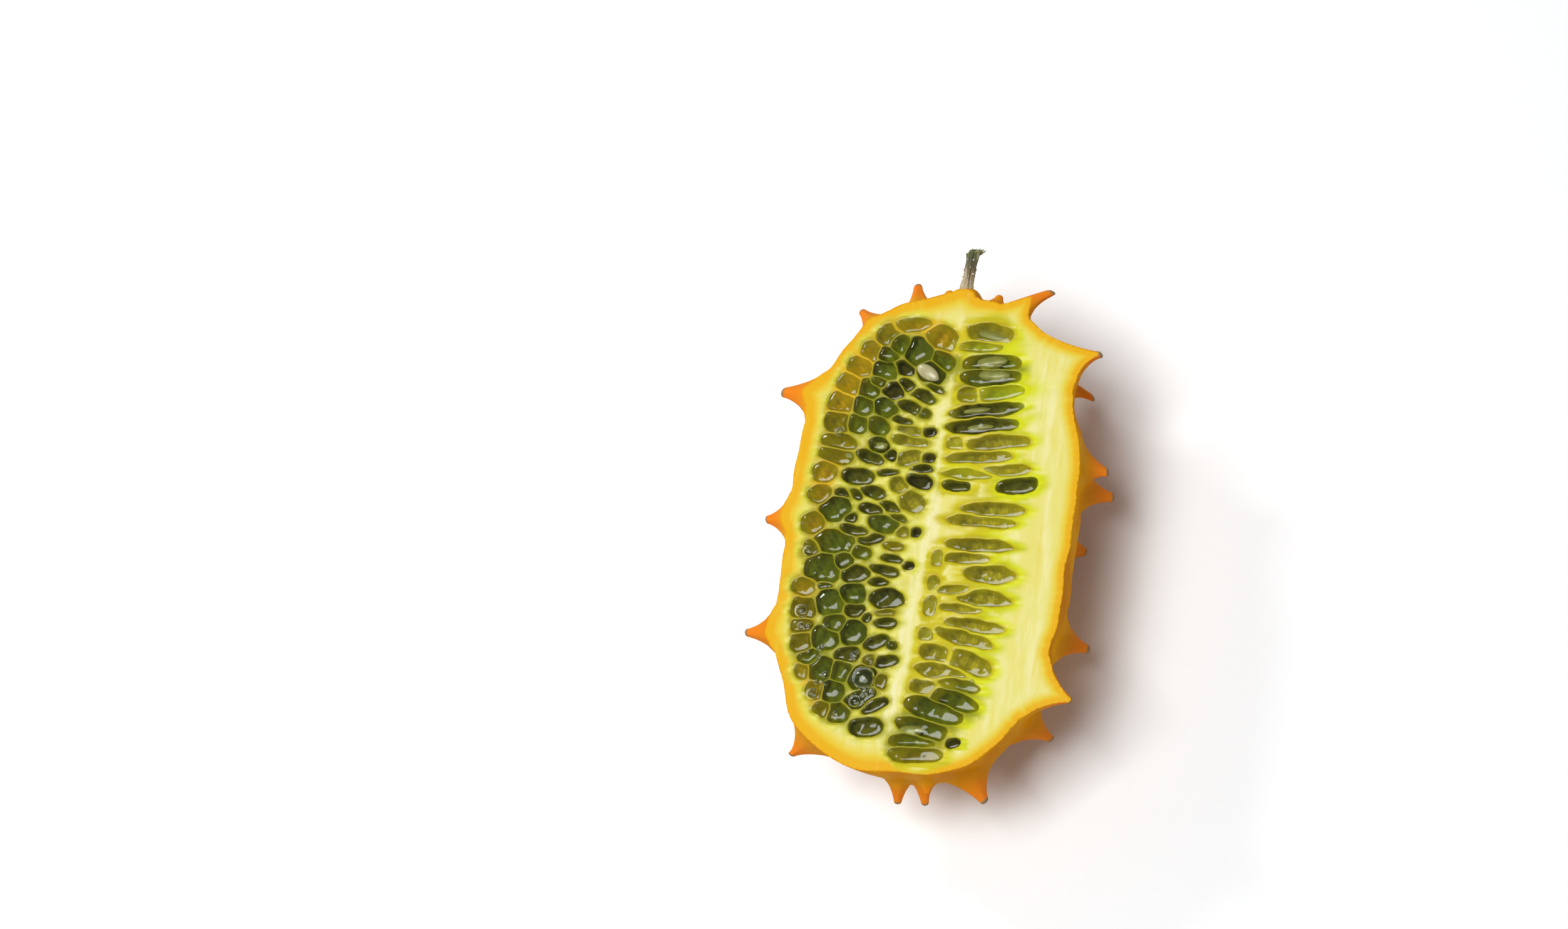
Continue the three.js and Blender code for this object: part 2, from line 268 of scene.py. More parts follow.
# Each sac: the place of its middle, half its length, half its width and its turn in degrees.
LEFT_SACS = {
    "amber": [
        (-12, 52, 4.4, 1.6, 8), (-4, 49, 3.8, 2.7, -10), (-21.5, 44.5, 2.7, 2.4, -20),
        (-24, 40.5, 2.9, 2.4, -20), (-26, 36, 3, 2.3, -25), (-27.5, 31, 2.9, 2.5, -20),
        (-28.5, 13, 2.9, 2.2, 0), (-29, 7.5, 2.7, 2.1, 0), (-29.5, 0, 2.7, 2.3, 0),
        (-29.5, -16, 2.8, 2, 0), (-26, -37, 2.1, 1.9, 0), (-22, -41.5, 2.4, 2.1, 0),
    ],
    "olive": [
        (-18, 49, 2.9, 2.3, 30), (-27.5, 26, 3.1, 2.4, -20), (-26, 21, 4.4, 1.7, -8),
        (-26.5, 17.5, 4.2, 1.8, -8), (-29, -6.5, 2.2, 2, 0), (-8, -4.5, 2.5, 1, -5),
        (-7.5, -21, 2.6, 0.8, 0), (-28.5, -21.5, 3, 2.4, 0), (-28, -26, 2.4, 1.8, 0),
        (-27.5, -30, 2.5, 2.6, 0), (-9.5, -33, 1.6, 1.2, 0), (-6, -38, 1.6, 1.6, 0),
        (-19.5, -46, 2.4, 1.6, -20),
    ],
    "green": [
        (-14.5, 47, 2.7, 1.9, -30), (-3, 43.5, 3.1, 2, -35), (-5.5, 40, 3.5, 2.2, -25),
        (-21, 35, 2.8, 2.2, -30), (-18.5, 37, 2.2, 1.1, -10), (-21.5, 30.5, 2.6, 2, -25),
        (-22.5, 26, 2.7, 2, -20), (-16.5, 25.5, 2.8, 1.7, -30), (-23, -4.5, 4.9, 2.5, -5),
        (-16, -6.5, 2.5, 1.5, -15), (-25, -11, 4.4, 3.3, 0), (-20.5, -9, 2.6, 1.9, 0),
        (-20, -24.5, 2.4, 1.9, 0), (-22, -28.5, 3.4, 2.6, 0), (-25, -33.5, 2.8, 2, 0),
        (-22, -36, 3.4, 2.6, 0), (-16.5, -36.5, 2.6, 2.3, 0), (-15.5, -46.5, 2.6, 2.2, -15),
    ],
    "bulge": [
        (-9.5, 45.5, 3.3, 2.9, -20), (-17.5, 44, 2.5, 1.7, -20), (-17.5, 40, 3, 2.1, -20),
        (-15.5, 30.5, 3, 2.1, -15), (-5.5, 29.5, 1.6, 1.1, -10), (-16, 21, 2.5, 1.5, -10),
        (-24.5, 4, 3.7, 2.7, 0), (-11.5, 1, 3.6, 1.9, -10), (-16.5, -17, 3.1, 2.2, 0),
        (-22, -19.5, 3.5, 2.6, -15), (-15, -26.5, 3.2, 2.5, 0), (-4.5, -29, 1.1, 0.9, 0),
        (-10.5, -37.5, 3.4, 2.7, 0), (-18, -41.5, 2.9, 2.6, 0),
    ],
    # painted shade: these deep sacs stand for empty pits whose dark is painted into the flesh under them
    "deep": [
        (-12.5, 41, 2.9, 1.8, -20), (-14.5, 35, 3.3, 2.1, -25), (-3.5, 25, 1.6, 1.3, 0),
        (-3, 18.5, 1.9, 1.5, 0), (-4, 15.5, 2.8, 1.2, 0), (-4, 12.5, 3.6, 1.9, -15),
        (-3, -0.5, 1.6, 1.3, 0), (-3.5, -9, 1.7, 1.1, 0),
    ],
    "dark": [
        (-11, 36.5, 2.1, 1.2, -30), (-6.5, 34, 3.2, 1.4, -20), (-4, 36.5, 2.6, 0.9, -25),
        (-9.5, 31, 3.7, 1.2, -20), (-11, 27.5, 2.7, 1, -15), (-12.5, 18.5, 1.3, 1.2, 0),
        (-17.5, 17.5, 3.5, 1.5, -15), (-12.5, 14, 2.5, 0.9, 5), (-20, 12.5, 3.8, 1.9, -5),
        (-15.5, 9, 2.9, 1.3, -15), (-23, 8, 2, 1.1, -15), (-20, 8, 2, 1.1, -20),
        (-15.5, 4.5, 2.7, 1.3, -10), (-10.5, 5.5, 2.5, 1, -20), (-8, 3, 2.1, 0.8, -25),
        (-20.5, 2, 1.9, 1.1, 0), (-19, -1, 3.1, 1.2, -10), (-14, -3, 3.1, 1.1, 10),
        (-8, -7.5, 2.6, 0.9, -10), (-16.5, -12, 3.2, 1.9, 5), (-9.5, -10.5, 3.5, 1.2, -10),
        (-10.5, -13.5, 2.3, 0.9, 5), (-24, -15.5, 2, 0.9, 0), (-7.5, -17.5, 3.8, 2.3, 0),
        (-15.5, -21, 2.6, 1.6, 0), (-12, -22.5, 1, 1.2, 0), (-7, -23.5, 2.9, 1.1, 5),
        (-8.5, -28.5, 3.1, 1.6, 20), (-15.5, -32, 3, 1.9, 15), (-5.5, -33, 2.8, 1.4, 10),
        (-10.5, -42.5, 3.7, 2, 25), (-6.5, -44, 3, 1.5, 30), (-8, -49.5, 3.9, 2.1, 5),
    ],
    "grey": [
        (-8.5, 25, 3.1, 1.2, -10), (-8, 22.5, 4.3, 1.3, -5), (-7.5, 18, 3, 1.6, 15),
        (-9, 11, 2.5, 1.7, -30), (-5, 7, 3.1, 2.2, -30), (-6.5, -0.5, 1.6, 1.2, 0),
    ],
}
RIGHT_SACS = {
    "olive": [
        (5, 35, 2.9, 1.8, 0), (5.5, -55, 6.6, 1.8, 2),
    ],
    "lime": [
        (6, 47.5, 5.6, 1.3, 4), (12.5, 36, 6.5, 1.6, 10), (8, 15, 6.8, 1.2, 2),
    ],
    "green": [
        (9.5, 43.5, 7.2, 1.9, 4), (9.5, 40, 7.6, 2, 4), (13.5, -37, 5.8, 1.3, -12),
        (12.5, -41, 6.6, 1.8, -14), (8.5, -44, 7.6, 2.3, -12), (6, -48.5, 6.6, 1.9, -10),
        (4, -52, 5.4, 1.6, 0),
    ],
    "dark": [
        (10, 31.5, 8.4, 1.6, 9), (9.5, 27.5, 8.2, 1.7, 7), (5.5, 12, 3.2, 1.4, 0),
        (20.5, 13, 4.7, 1.9, 11),
    ],
    "grey": [
        (8, 51, 6, 2.1, -6), (13, 3.5, 8.8, 1.3, 0), (17, -9.5, 6.4, 1.9, 0), (16.5, -15.5, 6.7, 1.7, -3),
        (13, -25.5, 7.6, 1.6, -12), (14, 23.5, 8, 1.6, 7), (10, 19.5, 8.2, 1.3, 6),
        (16.5, 16.5, 7, 1.2, 7), (15.5, 6.5, 8, 1.6, 2), (13.5, -2.5, 8.8, 1.4, 1), (10.5, -6, 6, 1.2, 3),
        (8.5, -14, 5, 1, 5), (11, -18.5, 5.5, 1, 0), (15, -22.5, 7.4, 1.5, -3), (7, -30, 4.5, 1.8, -5),
        (15, -31.5, 6.2, 2.1, -18), (8.5, -34.5, 6.4, 1.6, -8), (5, -38.5, 3.5, 1.7, -5),
    ],
    "pale": [
        (3.5, 22.5, 2.2, 1.5, 0), (3.5, -6.5, 1.8, 1.7, 0), (3.5, -13, 1.7, 1.8, 0),
        (3.5, -18.5, 1.7, 2.2, 0), (3.5, -25.5, 1.7, 1.6, 0),
    ],
    # painted shade: an empty pit whose dark is painted into the flesh under it
    "deep": [
        (14.5, -51.5, 1.9, 1.3, 0),
    ],
}

# The sacs press against each other: how much further each would reach, along and across it, if alone.
LEFT_SWELL = (1.14, 1.24)
RIGHT_SWELL = (1.05, 1.22)
DARK_SWELL = (1.16, 1.13)

# The way each kind of sac lies: how softly its edge fades, how deep its hollow is and how high it bulges.
KINDS = {
    "amber": (2.2, 1.4, 0.25),
    "olive": (1.7, 1.8, 0.3),
    "green": (1.0, 2.2, 0.6),
    "bulge": (0.8, 2.4, 1.2),
    "dark": (0.6, 2.2, 0.25),
    "grey": (1.2, 1.1, 0.05),
    "pale": (1.6, 0.7, 0.05),
    "lime": (1.5, 1.1, 0.3),
    # painted shade: the deep sacs' hollows are no deeper than other sacs', and their dark is painted in
    "deep": (0.5, 1.9, 0.06),
}

# How much a thin wall takes on the colour of the sacs beside it.
CLEARNESS = {
    "amber": 0.95,
    "olive": 0.85,
    "green": 0.85,
    "bulge": 0.85,
    "dark": 0.25,
    "grey": 0.2,
    "pale": 0.2,
    "lime": 0.2,
    "deep": 0.1,
}

# The bare seed: its middle, its half sizes, its turn and its tilt.
BARE_SEED = ((-6.0, 39.8, 0.9), (3.2, 1.7, 0.8), -28, 8)

# Pale seeds that show through clear juice: place, half length, half width and turn.
INNER_SEEDS = [
    (9.5, 44.0, 3.9, 1.3, 8), (10.5, 40.6, 4.0, 1.4, 4), (3.5, -49.0, 3.3, 1.1, 4),
    (8.5, 50.6, 3.6, 1.1, -10), (7.5, 31.4, 3.4, 0.8, 10), (9.0, 27.2, 3.4, 0.8, 8),
    (-15.5, 20.9, 1.3, 0.8, 0), (-22.5, 18.2, 1.8, 1.0, 10),
]

# Air bubbles on the juice: place and radius.
BUBBLES = [
    (-29.5, -7.2, 1.4), (-28.7, -22.3, 1.8), (-28.2, -26.0, 1.0), (-26.4, -25.9, 0.6),
    (-22.0, -25.6, 0.8), (-22.4, -31.5, 0.9), (-21.5, -30.6, 0.6), (-22.2, -33.6, 0.7),
    (-13.7, -32.2, 0.9), (-12.8, -31.4, 0.6), (-13.4, -33.2, 0.5), (-10.3, -37.6, 2.9),
    (-9.6, -33.0, 0.7), (-8.6, -34.0, 0.4), (-20.0, -37.6, 1.0), (-22.0, -39.6, 0.7), (-20.6, -39.5, 0.5),
    (-19.4, -40.1, 0.7), (-22.6, -42.6, 1.5), (-11.6, -43.4, 1.6), (-9.9, -42.0, 0.6), (-9.2, -41.2, 0.9),
    (-7.6, -40.7, 0.7), (-9.4, -43.6, 0.5), (-15.8, -47.0, 0.8), (-26.5, 23.4, 1.2), (16.9, -36.2, 0.6),
]

# Stained flesh: place, half length, half width, turn, the name of its colour and how strong it is.
STAINS = [
    (18.5, 37.0, 6.6, 2.9, 8, "lime", 1.0), (14.5, 47.5, 4.0, 2.2, 20, "lime", 1.0),
    (21.0, 30.0, 3.4, 1.6, 20, "lime", 0.9), (-1.5, -10.0, 0.5, 9.0, 3, "lime", 0.7),
    (-3.5, -13.6, 2.2, 1.8, 0, "membrane", 0.5), (5.0, 16.8, 5.0, 1.8, 0, "lime", 0.5),
    (4.5, 10.0, 4.0, 1.2, 0, "glow", 0.5),
]


def wall_middle(y):
    """The middle of the pale central wall at a place along the fruit."""
    return np.interp(y, WALL_PLACES, WALL_MIDDLES)


def wall_half(y):
    """Half the width of the central wall at a place along the fruit."""
    return np.interp(y, WALL_PLACES, WALL_HALVES)


def slice_at(x, y, slices):
    """The number of the CAD slice that a sac's middle lies in."""
    count, low, high, lean = slices
    found = 0
    for k in range(1, count):
        start = low + k * (high - low) / count
        if y >= start + x * math.tan(math.radians(lean(start))):
            found = k
    return found


class Hollows:
    """The hollows in the flesh that hold the seed sacs, as turned ovals that press against each other."""

    def __init__(self):
        self.rows = []
        self.kind = []
        self.node = []
        for sacs, slices, nodes in (
            (LEFT_SACS, LEFT_SLICES, LEFT_NODES),
            (RIGHT_SACS, RIGHT_SLICES, RIGHT_NODES),
        ):
            for kind, places in sacs.items():
                for place in places:
                    self.rows.append(place)
                    self.kind.append(kind)
                    self.node.append(nodes[slice_at(place[0], place[1], slices)])
        rows = np.array(self.rows, float)
        self.centre = rows[:, :2]
        swell = np.where(rows[:, :1] < 0, LEFT_SWELL, RIGHT_SWELL)
        swell[[kind == "deep" for kind in self.kind]] = 1.0
        swell[[kind == "dark" for kind in self.kind]] = DARK_SWELL
        self.long, self.short = (rows[:, 2:4] * swell).T
        turn = np.radians(rows[:, 4])
        self.along = np.stack([np.cos(turn), np.sin(turn)], 1)
        self.soft, self.depth, self.dome = np.array([KINDS[kind] for kind in self.kind]).T

    def level(self, points, which):
        """How far out points are in one oval: 0 at its middle and 1 at its edge."""
        offset = points - self.centre[which]
        along = self.along[which]
        first = np.abs(offset @ along) / self.long[which]
        second = np.abs(offset @ np.array([-along[1], along[0]])) / self.short[which]
        return (first**2.3 + second**2.3) ** (1.0 / 2.3)

    def inside(self, points):
        """Where points lie among the ovals: the oval each is in, how far inside its hollow in millimetres,
        the next oval, and how far it lies between the two, from 0 to 1.
        """
        drift = np.column_stack([points, points[:, 0] * 0])
        wander = np.column_stack([ripple(drift, 2.6, 21.0), ripple(drift, 2.6, 27.0)])
        points = points + WANDER * wander
        best = np.full(len(points), 99.0)
        second = np.full(len(points), 99.0)
        owner = np.zeros(len(points), int)
        rival = np.zeros(len(points), int)
        for which in range(len(self.rows)):
            level = self.level(points, which)
            closer = level < best
            second = np.where(closer, best, np.minimum(second, level))
            rival = np.where(closer, owner, np.where(level <= second, which, rival))
            owner = np.where(closer, which, owner)
            best = np.where(closer, level, best)
        slope = 1.0 / self.short[owner] + 1.0 / self.short[rival]
        to_rival = (second - best) / slope - MEMBRANE
        away = np.linalg.norm(points - self.centre[owner], axis=1)
        to_edge = np.where(best < 1.0, (1.0 - best) * self.short[owner], away / np.maximum(best, 1.0) - away)
        between = smooth(1.9, 1.15, second)
        return owner, np.minimum(to_rival, to_edge), rival, between


HOLLOWS = Hollows()


def bed_depth(points):
    """How far the flesh lies below the cut plane, and the distance inside a hollow."""
    owner, inside = HOLLOWS.inside(points)[:2]
    share = np.clip(inside / np.maximum(HOLLOWS.soft[owner], 0.8), 0.0, 1.0)
    return HOLLOWS.depth[owner] * (1.0 - (1.0 - share) ** 2), inside


# --- Rind and flesh ---


def body_radius(y, body):
    """The rind's radius, without horns, in millimetres at places along the fruit."""
    bluntness = np.where(y > 0, body.stem_end_bluntness, body.blossom_end_bluntness)
    return body.radius * 1000 * blunt_share(y, body.half_length * 1000, bluntness)


def horn_frame(horn, body):
    """A horn's foot on the rind, its outward direction and the direction along the fruit there."""
    y, degrees = horn[0], horn[1]
    half_length, radius = body.half_length * 1000, body.radius * 1000
    bluntness = body.stem_end_bluntness if y > 0 else body.blossom_end_bluntness
    share = float(blunt_share(y, half_length, bluntness))
    angle = math.radians(degrees)
    across = Vector((math.cos(angle), 0.0, -math.sin(angle)))
    foot = across * (radius * share)
    foot.y = y
    normal = across * (share ** (bluntness - 1) / radius)
    normal.y = math.copysign(abs(y / half_length) ** (bluntness - 1) / half_length, y)
    normal.normalize()
    along = Vector((0, 1, 0)) - normal * normal.y
    along.normalize()
    return np.array(foot), np.array(normal), np.array(along)


def body_point(directions, body):
    """Points on the hornless fruit in given directions from its middle."""
    scaled = directions / np.linalg.norm(directions, axis=1, keepdims=True)
    across = np.hypot(scaled[:, 0], scaled[:, 2])
    low = np.zeros(len(scaled))
    high = np.full(len(scaled), body.half_length * 1000 * 1.3)
    for _ in range(40):
        middle = (low + high) / 2
        outside = middle * across > body_radius(scaled[:, 1] * middle, body)
        high = np.where(outside, middle, high)
        low = np.where(outside, low, middle)
    return scaled * low[:, None]


def grow_horns(points, body):
    """Moves points of the bare rind out into horns. Also gives each point's share of its horn's height."""
    height_share = np.zeros(len(points))
    frames = [horn_frame(horn, body) for horn in HORNS]
    feet = np.array([f[0] for f in frames])
    tip = body.horn_tip * 1000
    moved = points.copy()
    taken = np.full(len(points), 9.0)
    for index, (horn, (foot, normal, along)) in enumerate(zip(HORNS, frames)):
        gaps = np.linalg.norm(feet - foot, axis=1)
        gaps[index] = 99.0
        reach = min(HORN_FLARE * horn[4], 0.7 * gaps.min())
        length = horn[2]
        own_tip = min(tip * (0.85 + 0.3 * spread(index, 9)), 0.34 * reach)
        offset = points - foot
        rise = offset @ normal
        flat = offset - rise[:, None] * normal
        away = np.linalg.norm(flat, axis=1)
        share = away / reach
        mine = (share < 1.0) & (np.abs(rise) < 12.0) & (share < taken)
        taken[mine] = share[mine]
        s = share[mine]
        out = np.clip((s - HORN_CAP) / (1.0 - HORN_CAP), 0.0, 1.0)
        x = out**1.9
        flank_height = (length - 0.7 * own_tip) * (1.0 - x**0.76) ** 1.7
        flank_radius = own_tip + (reach - own_tip) * x
        dome = np.clip(s / HORN_CAP, 0.0, 1.0) * math.pi / 2
        on_cap = s < HORN_CAP
        height = np.where(on_cap, length - 0.7 * own_tip + 0.7 * own_tip * np.cos(dome), flank_height)
        radius = np.where(on_cap, own_tip * np.sin(dome), flank_radius)
        side = np.cross(along, normal)
        round_it = np.arctan2(flat[mine] @ along, flat[mine] @ side)
        radius = np.where(out < 0.9, radius * (1.0 + 0.05 * np.sin(5 * round_it + index)), radius)
        ratio = radius / np.maximum(away[mine], 1e-6)
        lean = math.tan(math.radians(horn[3]))
        sway = 0.10 * (spread(index, 10) - 0.5)
        bend = height * np.sqrt(np.clip(height / length, 0.0, 1.0))
        moved[mine] = (
            foot
            + flat[mine] * ratio[:, None]
            + np.outer(rise[mine] * ratio**2 + height, normal)
            + np.outer(bend * lean, along)
            + np.outer(bend * sway, side)
        )
        height_share[mine] = height / length * min(length / 5.0, 1.0)
    return moved, height_share


def raise_collar(points):
    """Lifts the rind into a ring round the stem's foot."""
    across, down = points[:, 0] - STEM_FOOT[0], points[:, 2] - STEM_FOOT[2]
    away = np.hypot(across, down)
    ring = smooth(5.4, 3.4, away) * (0.45 + 0.55 * smooth(1.0, 2.4, away))
    lobes = 0.62 + 0.5 * np.cos(np.arctan2(down, across) - 0.3)
    points[:, 1] += np.where(points[:, 1] > 0, COLLAR_HEIGHT * ring * lobes, 0.0)


def refine_round_horns(shell, body):
    """Splits the shell's faces twice where the horns stand."""
    feet = np.array([horn_frame(horn, body)[0] for horn in HORNS])
    reach = np.array([horn[4] for horn in HORNS])
    for share in (0.86, 0.33):
        dense = set()
        for face in shell.faces:
            middle = np.array(face.calc_center_median())
            if (np.linalg.norm(feet - middle, axis=1) < reach * share).any():
                dense.update(face.edges)
        bmesh.ops.subdivide_edges(shell, edges=list(dense), cuts=1, use_grid_fill=True)
        bmesh.ops.triangulate(shell, faces=shell.faces)


def rind_shell(body):
    """The horned rind as a shell that is open at the cut plane."""
    shell = bmesh.new()
    bmesh.ops.create_icosphere(shell, subdivisions=6, radius=1.0)
    turn = Matrix.Rotation(0.3, 4, "X") @ Matrix.Rotation(0.2, 4, "Y")
    bmesh.ops.transform(shell, matrix=turn, verts=shell.verts)
    directions = np.array([v.co[:] for v in shell.verts])
    for vertex, point in zip(shell.verts, body_point(directions * [0.6, 1.0, 0.6], body)):
        vertex.co = point
    unused = [v for v in shell.verts if v.co.z > TOP_KEPT]
    bmesh.ops.delete(shell, geom=unused, context="VERTS")
    refine_round_horns(shell, body)
    points = body_point(np.array([v.co[:] for v in shell.verts]), body)
    swell = 1.0 + (body.waviness * 1000 / 36.0) * ripple(points, 9.0, 3.0)
    for height, middle, length, start, full in SWELLINGS:
        along = np.exp(-(((points[:, 1] - middle) / length) ** 2))
        swell += height * along * smooth(start, full, points[:, 0])
    grown, height_share = grow_horns(points, body)
    grown *= swell[:, None]
    raise_collar(grown)
    field = shell.verts.layers.float.new("horn")
    for vertex, point, share in zip(shell.verts, grown, height_share):
        vertex.co = point
        vertex[field] = share
    everything = shell.verts[:] + shell.edges[:] + shell.faces[:]
    bmesh.ops.bisect_plane(
        shell, geom=everything, dist=1e-4, plane_co=(0, 0, 0), plane_no=(0, 0, 1), clear_outer=True
    )
    bmesh.ops.triangulate(shell, faces=shell.faces)
    for vertex in shell.verts:
        vertex.co.z = max(vertex.co.z, -MIDDLE[2])
    return shell, field


def cut_outline(shell):
    """The shell's open edge as one ordered loop of vertices."""
    edges = [e for e in shell.edges if e.is_boundary]
    following = {}
    for edge in edges:
        a, b = edge.verts
        following.setdefault(a, []).append(b)
        following.setdefault(b, []).append(a)
    loops = []
    left = set(following)
    while left:
        start = next(iter(left))
        loop = [start]
        left.discard(start)
        while True:
            onward = [v for v in following[loop[-1]] if v in left]
            if not onward:
                break
            loop.append(onward[0])
            left.discard(onward[0])
        loops.append(loop)
    loops.sort(key=len, reverse=True)
    if len(loops) > 1:
        sizes = [len(loop) for loop in loops]
        raise RuntimeError(f"the cut plane meets the rind in {len(loops)} loops: {sizes}")
    return loops[0]


# How far apart the cut face's points are, and how wide the band of medium spacing along the skin is.
COARSE, MEDIUM, FINE = 0.8, 0.42, 0.34
SKIN_BAND = 3.2


def hex_points(low, high, spacing):
    """Points in a honeycomb pattern over a rectangle."""
    rows = np.arange(low[1], high[1], spacing * 0.866)
    made = []
    for index, y in enumerate(rows):
        x = np.arange(low[0] + (index % 2) * spacing / 2, high[0], spacing)
        made.append(np.stack([x, np.full(len(x), y)], 1))
    return np.concatenate(made)


def within(points, outline):
    """Whether points lie inside a closed outline."""
    inside = np.zeros(len(points), bool)
    ahead = np.roll(outline, -1, axis=0)
    for (x0, y0), (x1, y1) in zip(outline, ahead):
        if y0 == y1:
            continue
        crosses = (points[:, 1] < y0) != (points[:, 1] < y1)
        at = x0 + (points[:, 1] - y0) * (x1 - x0) / (y1 - y0)
        inside ^= crosses & (points[:, 0] < at)
    return inside


def nearest(points, targets):
    """Distance from each point to the nearest target."""
    found = np.empty(len(points))
    for start in range(0, len(points), 4000):
        part = points[start : start + 4000]
        gaps = part[:, None, :] - targets[None, :, :]
        found[start : start + 4000] = np.sqrt((gaps**2).sum(2)).min(1)
    return found


def in_seed_bed(points):
    """Whether points lie in or just round the seed hollows."""
    return HOLLOWS.inside(points)[1] > -1.2


def flesh_points(outline):
    """Points over the cut face, close together where the hollows are and along the skin."""
    low, high = outline.min(0), outline.max(0)
    coarse = hex_points(low, high, COARSE)
    coarse = coarse[~in_seed_bed(coarse)]
    fine = hex_points((-33, -58), (27, 56), FINE)
    fine = fine[in_seed_bed(fine)]
    kept = []
    for points in (coarse, fine):
        points = points[within(points, outline)]
        kept.append(points[nearest(points, outline) > SKIN_BAND])
    band = hex_points(low, high, MEDIUM)
    band = band[within(band, outline)]
    kept.append(band[nearest(band, outline) < SKIN_BAND])
    spots = np.concatenate(kept)
    return spots[nearest(spots, outline) > 0.3]


def mixed(first, second, share):
    """Mixes two colours or arrays of colours by an array of shares."""
    return first + (second - first) * share[:, None]


def painted_sac_light_and_ribs(points, owner):
    """Painted light: each sac lighter on the side away from the light, with random patches; and the ribs of
    seeds near the cut.
    """
    offset = points - HOLLOWS.centre[owner]
    across = np.column_stack([-HOLLOWS.along[owner][:, 1], HOLLOWS.along[owner][:, 0]])
    first = (offset * HOLLOWS.along[owner]).sum(1)
    second = (offset * across).sum(1)
    # painted light: each sac is made lighter towards its lower right, the side away from the light
    away_from_light = (offset @ [0.5, -0.85]) / HOLLOWS.short[owner]
    patches = ripple(np.column_stack([points, owner * 3.0]), 1.0, 5.0)
    painted_light_and_patches = 1.0 + 0.35 * np.clip(away_from_light, -1.0, 1.0) + 0.45 * patches
    is_ribbed = np.array([kind == "grey" for kind in HOLLOWS.kind])[owner]
    out = np.hypot(first / HOLLOWS.long[owner], second / HOLLOWS.short[owner])
    lens = 1.0 - 0.32 * smooth(0.30, 0.55, out) * smooth(0.95, 0.7, out)
    ribs = lens * (1.0 + 0.10 * np.sin(first * 6.3))
    return np.clip(painted_light_and_patches, 0.35, 1.9), np.where(is_ribbed, ribs, 1.0)


def paint_seed_bed(points, colours, sacs):
    """The colour of the flesh in and round the hollows with painted light on the sacs, and how far it hides
    the plain flesh colour.
    """
    owner, inside, rival, between = HOLLOWS.inside(points)
    tones = np.array([getattr(sacs, kind)[:] for kind in HOLLOWS.kind])
    clear = np.array([CLEARNESS[kind] for kind in HOLLOWS.kind])
    vary = np.array([0.82 + 0.36 * spread(k, 12) for k in range(len(tones))])
    tones = tones * vary[:, None]
    soft = HOLLOWS.soft[owner]
    # painted light on each sac's side away from the light, with random patches, and the seeds' ribs
    painted_light_and_patches, ribs = painted_sac_light_and_ribs(points, owner)
    membrane, corner, glow, lime, pale_flesh = (
        np.array(getattr(colours, name)[:]) for name in ("membrane", "corner", "glow", "lime", "pale_flesh")
    )
    left_thin = mixed(membrane, corner, smooth(-0.15, -1.1, inside))
    right_thin = mixed(glow, lime, smooth(11.0, 19.0, points[:, 0]))
    on_right = smooth(0.0, 1.0, points[:, 0])
    colour = mixed(left_thin, right_thin, on_right)
    wisp = 0.5 + 0.5 * ripple(np.column_stack([points * [0.6, 1.6], points[:, 0] * 0]), 1.5, 9.0)
    streak = 0.5 + 0.5 * ripple(np.column_stack([points * [0.22, 1.7], points[:, 0] * 0]), 1.1, 15.0)
    grain = mixed(wisp[:, None], streak[:, None], on_right)
    colour = colour * (0.72 + 0.5 * grain)
    colour = mixed(colour, pale_flesh, 0.5 * smooth(0.62, 0.9, grain[:, 0]))
    shared = 0.5 * (tones[owner] + tones[rival]) * 1.15 + 0.10 * corner
    colour = mixed(colour, shared, between * 0.5 * (clear[owner] + clear[rival]))
    is_soft = np.array([kind in ("amber", "olive", "green", "grey", "lime") for kind in HOLLOWS.kind])[owner]
    is_slat = np.array([kind in ("grey", "pale") for kind in HOLLOWS.kind])[owner]
    rim = smooth(-0.5, 0.45 * soft, inside) * is_soft
    rim = np.where(is_slat, smooth(-1.2, 0.1, inside) * on_right, rim)
    colour = mixed(colour, np.array(sacs.shade[:]), rim * (0.8 - 0.6 * between))
    start = np.where(is_slat, -0.3, np.where(is_soft, 0.05, -0.15))
    share = np.clip((inside - start) / (soft - start), 0.0, 1.0)
    share = share * share * (3.0 - 2.0 * share)
    colour = mixed(colour, tones[owner] * (painted_light_and_patches * ribs)[:, None], share)
    cover = smooth(-2.8, -0.2, inside) * (1.0 - on_right) + smooth(-4.0, -1.2, inside) * on_right
    for x, y, long_half, short_half, turn, name, strength in STAINS:
        angle = math.radians(turn)
        offset = points - [x, y]
        first = offset @ [math.cos(angle), math.sin(angle)] / long_half
        second = offset @ [-math.sin(angle), math.cos(angle)] / short_half
        stain = np.exp(-(first**2 + second**2) * 1.2) * strength
        colour = mixed(colour, np.array(getattr(colours, name)[:]), stain * (1.0 - 0.7 * share))
        cover = np.maximum(cover, stain)
    return colour, cover


def cut_face(outline):
    """The cut face's points, its triangles, and the number of the given point that each point comes from."""
    spots = flesh_points(outline)
    flat = [Vector(p) for p in outline] + [Vector(p) for p in spots]
    rim = [(i, (i + 1) % len(outline)) for i in range(len(outline))]
    result = delaunay_2d_cdt(flat, rim, [], 1, 1e-6)
    placed = np.array([(p.x, p.y) for p in result[0]])
    faces = np.array([list(f) for f in result[2]])
    origin = [found[0] if found else -1 for found in result[3]]
    return placed, faces, origin


def facing_up(faces, placed, index):
    """The cut face's triangles by their points' numbers in the whole mesh, all turned to face up."""
    numbered = index[faces]
    a, b, c = (placed[faces[:, k]] for k in range(3))
    turned = (b[:, 0] - a[:, 0]) * (c[:, 1] - a[:, 1]) - (b[:, 1] - a[:, 1]) * (c[:, 0] - a[:, 0])
    numbered[turned < 0] = numbered[turned < 0][:, ::-1]
    return numbered


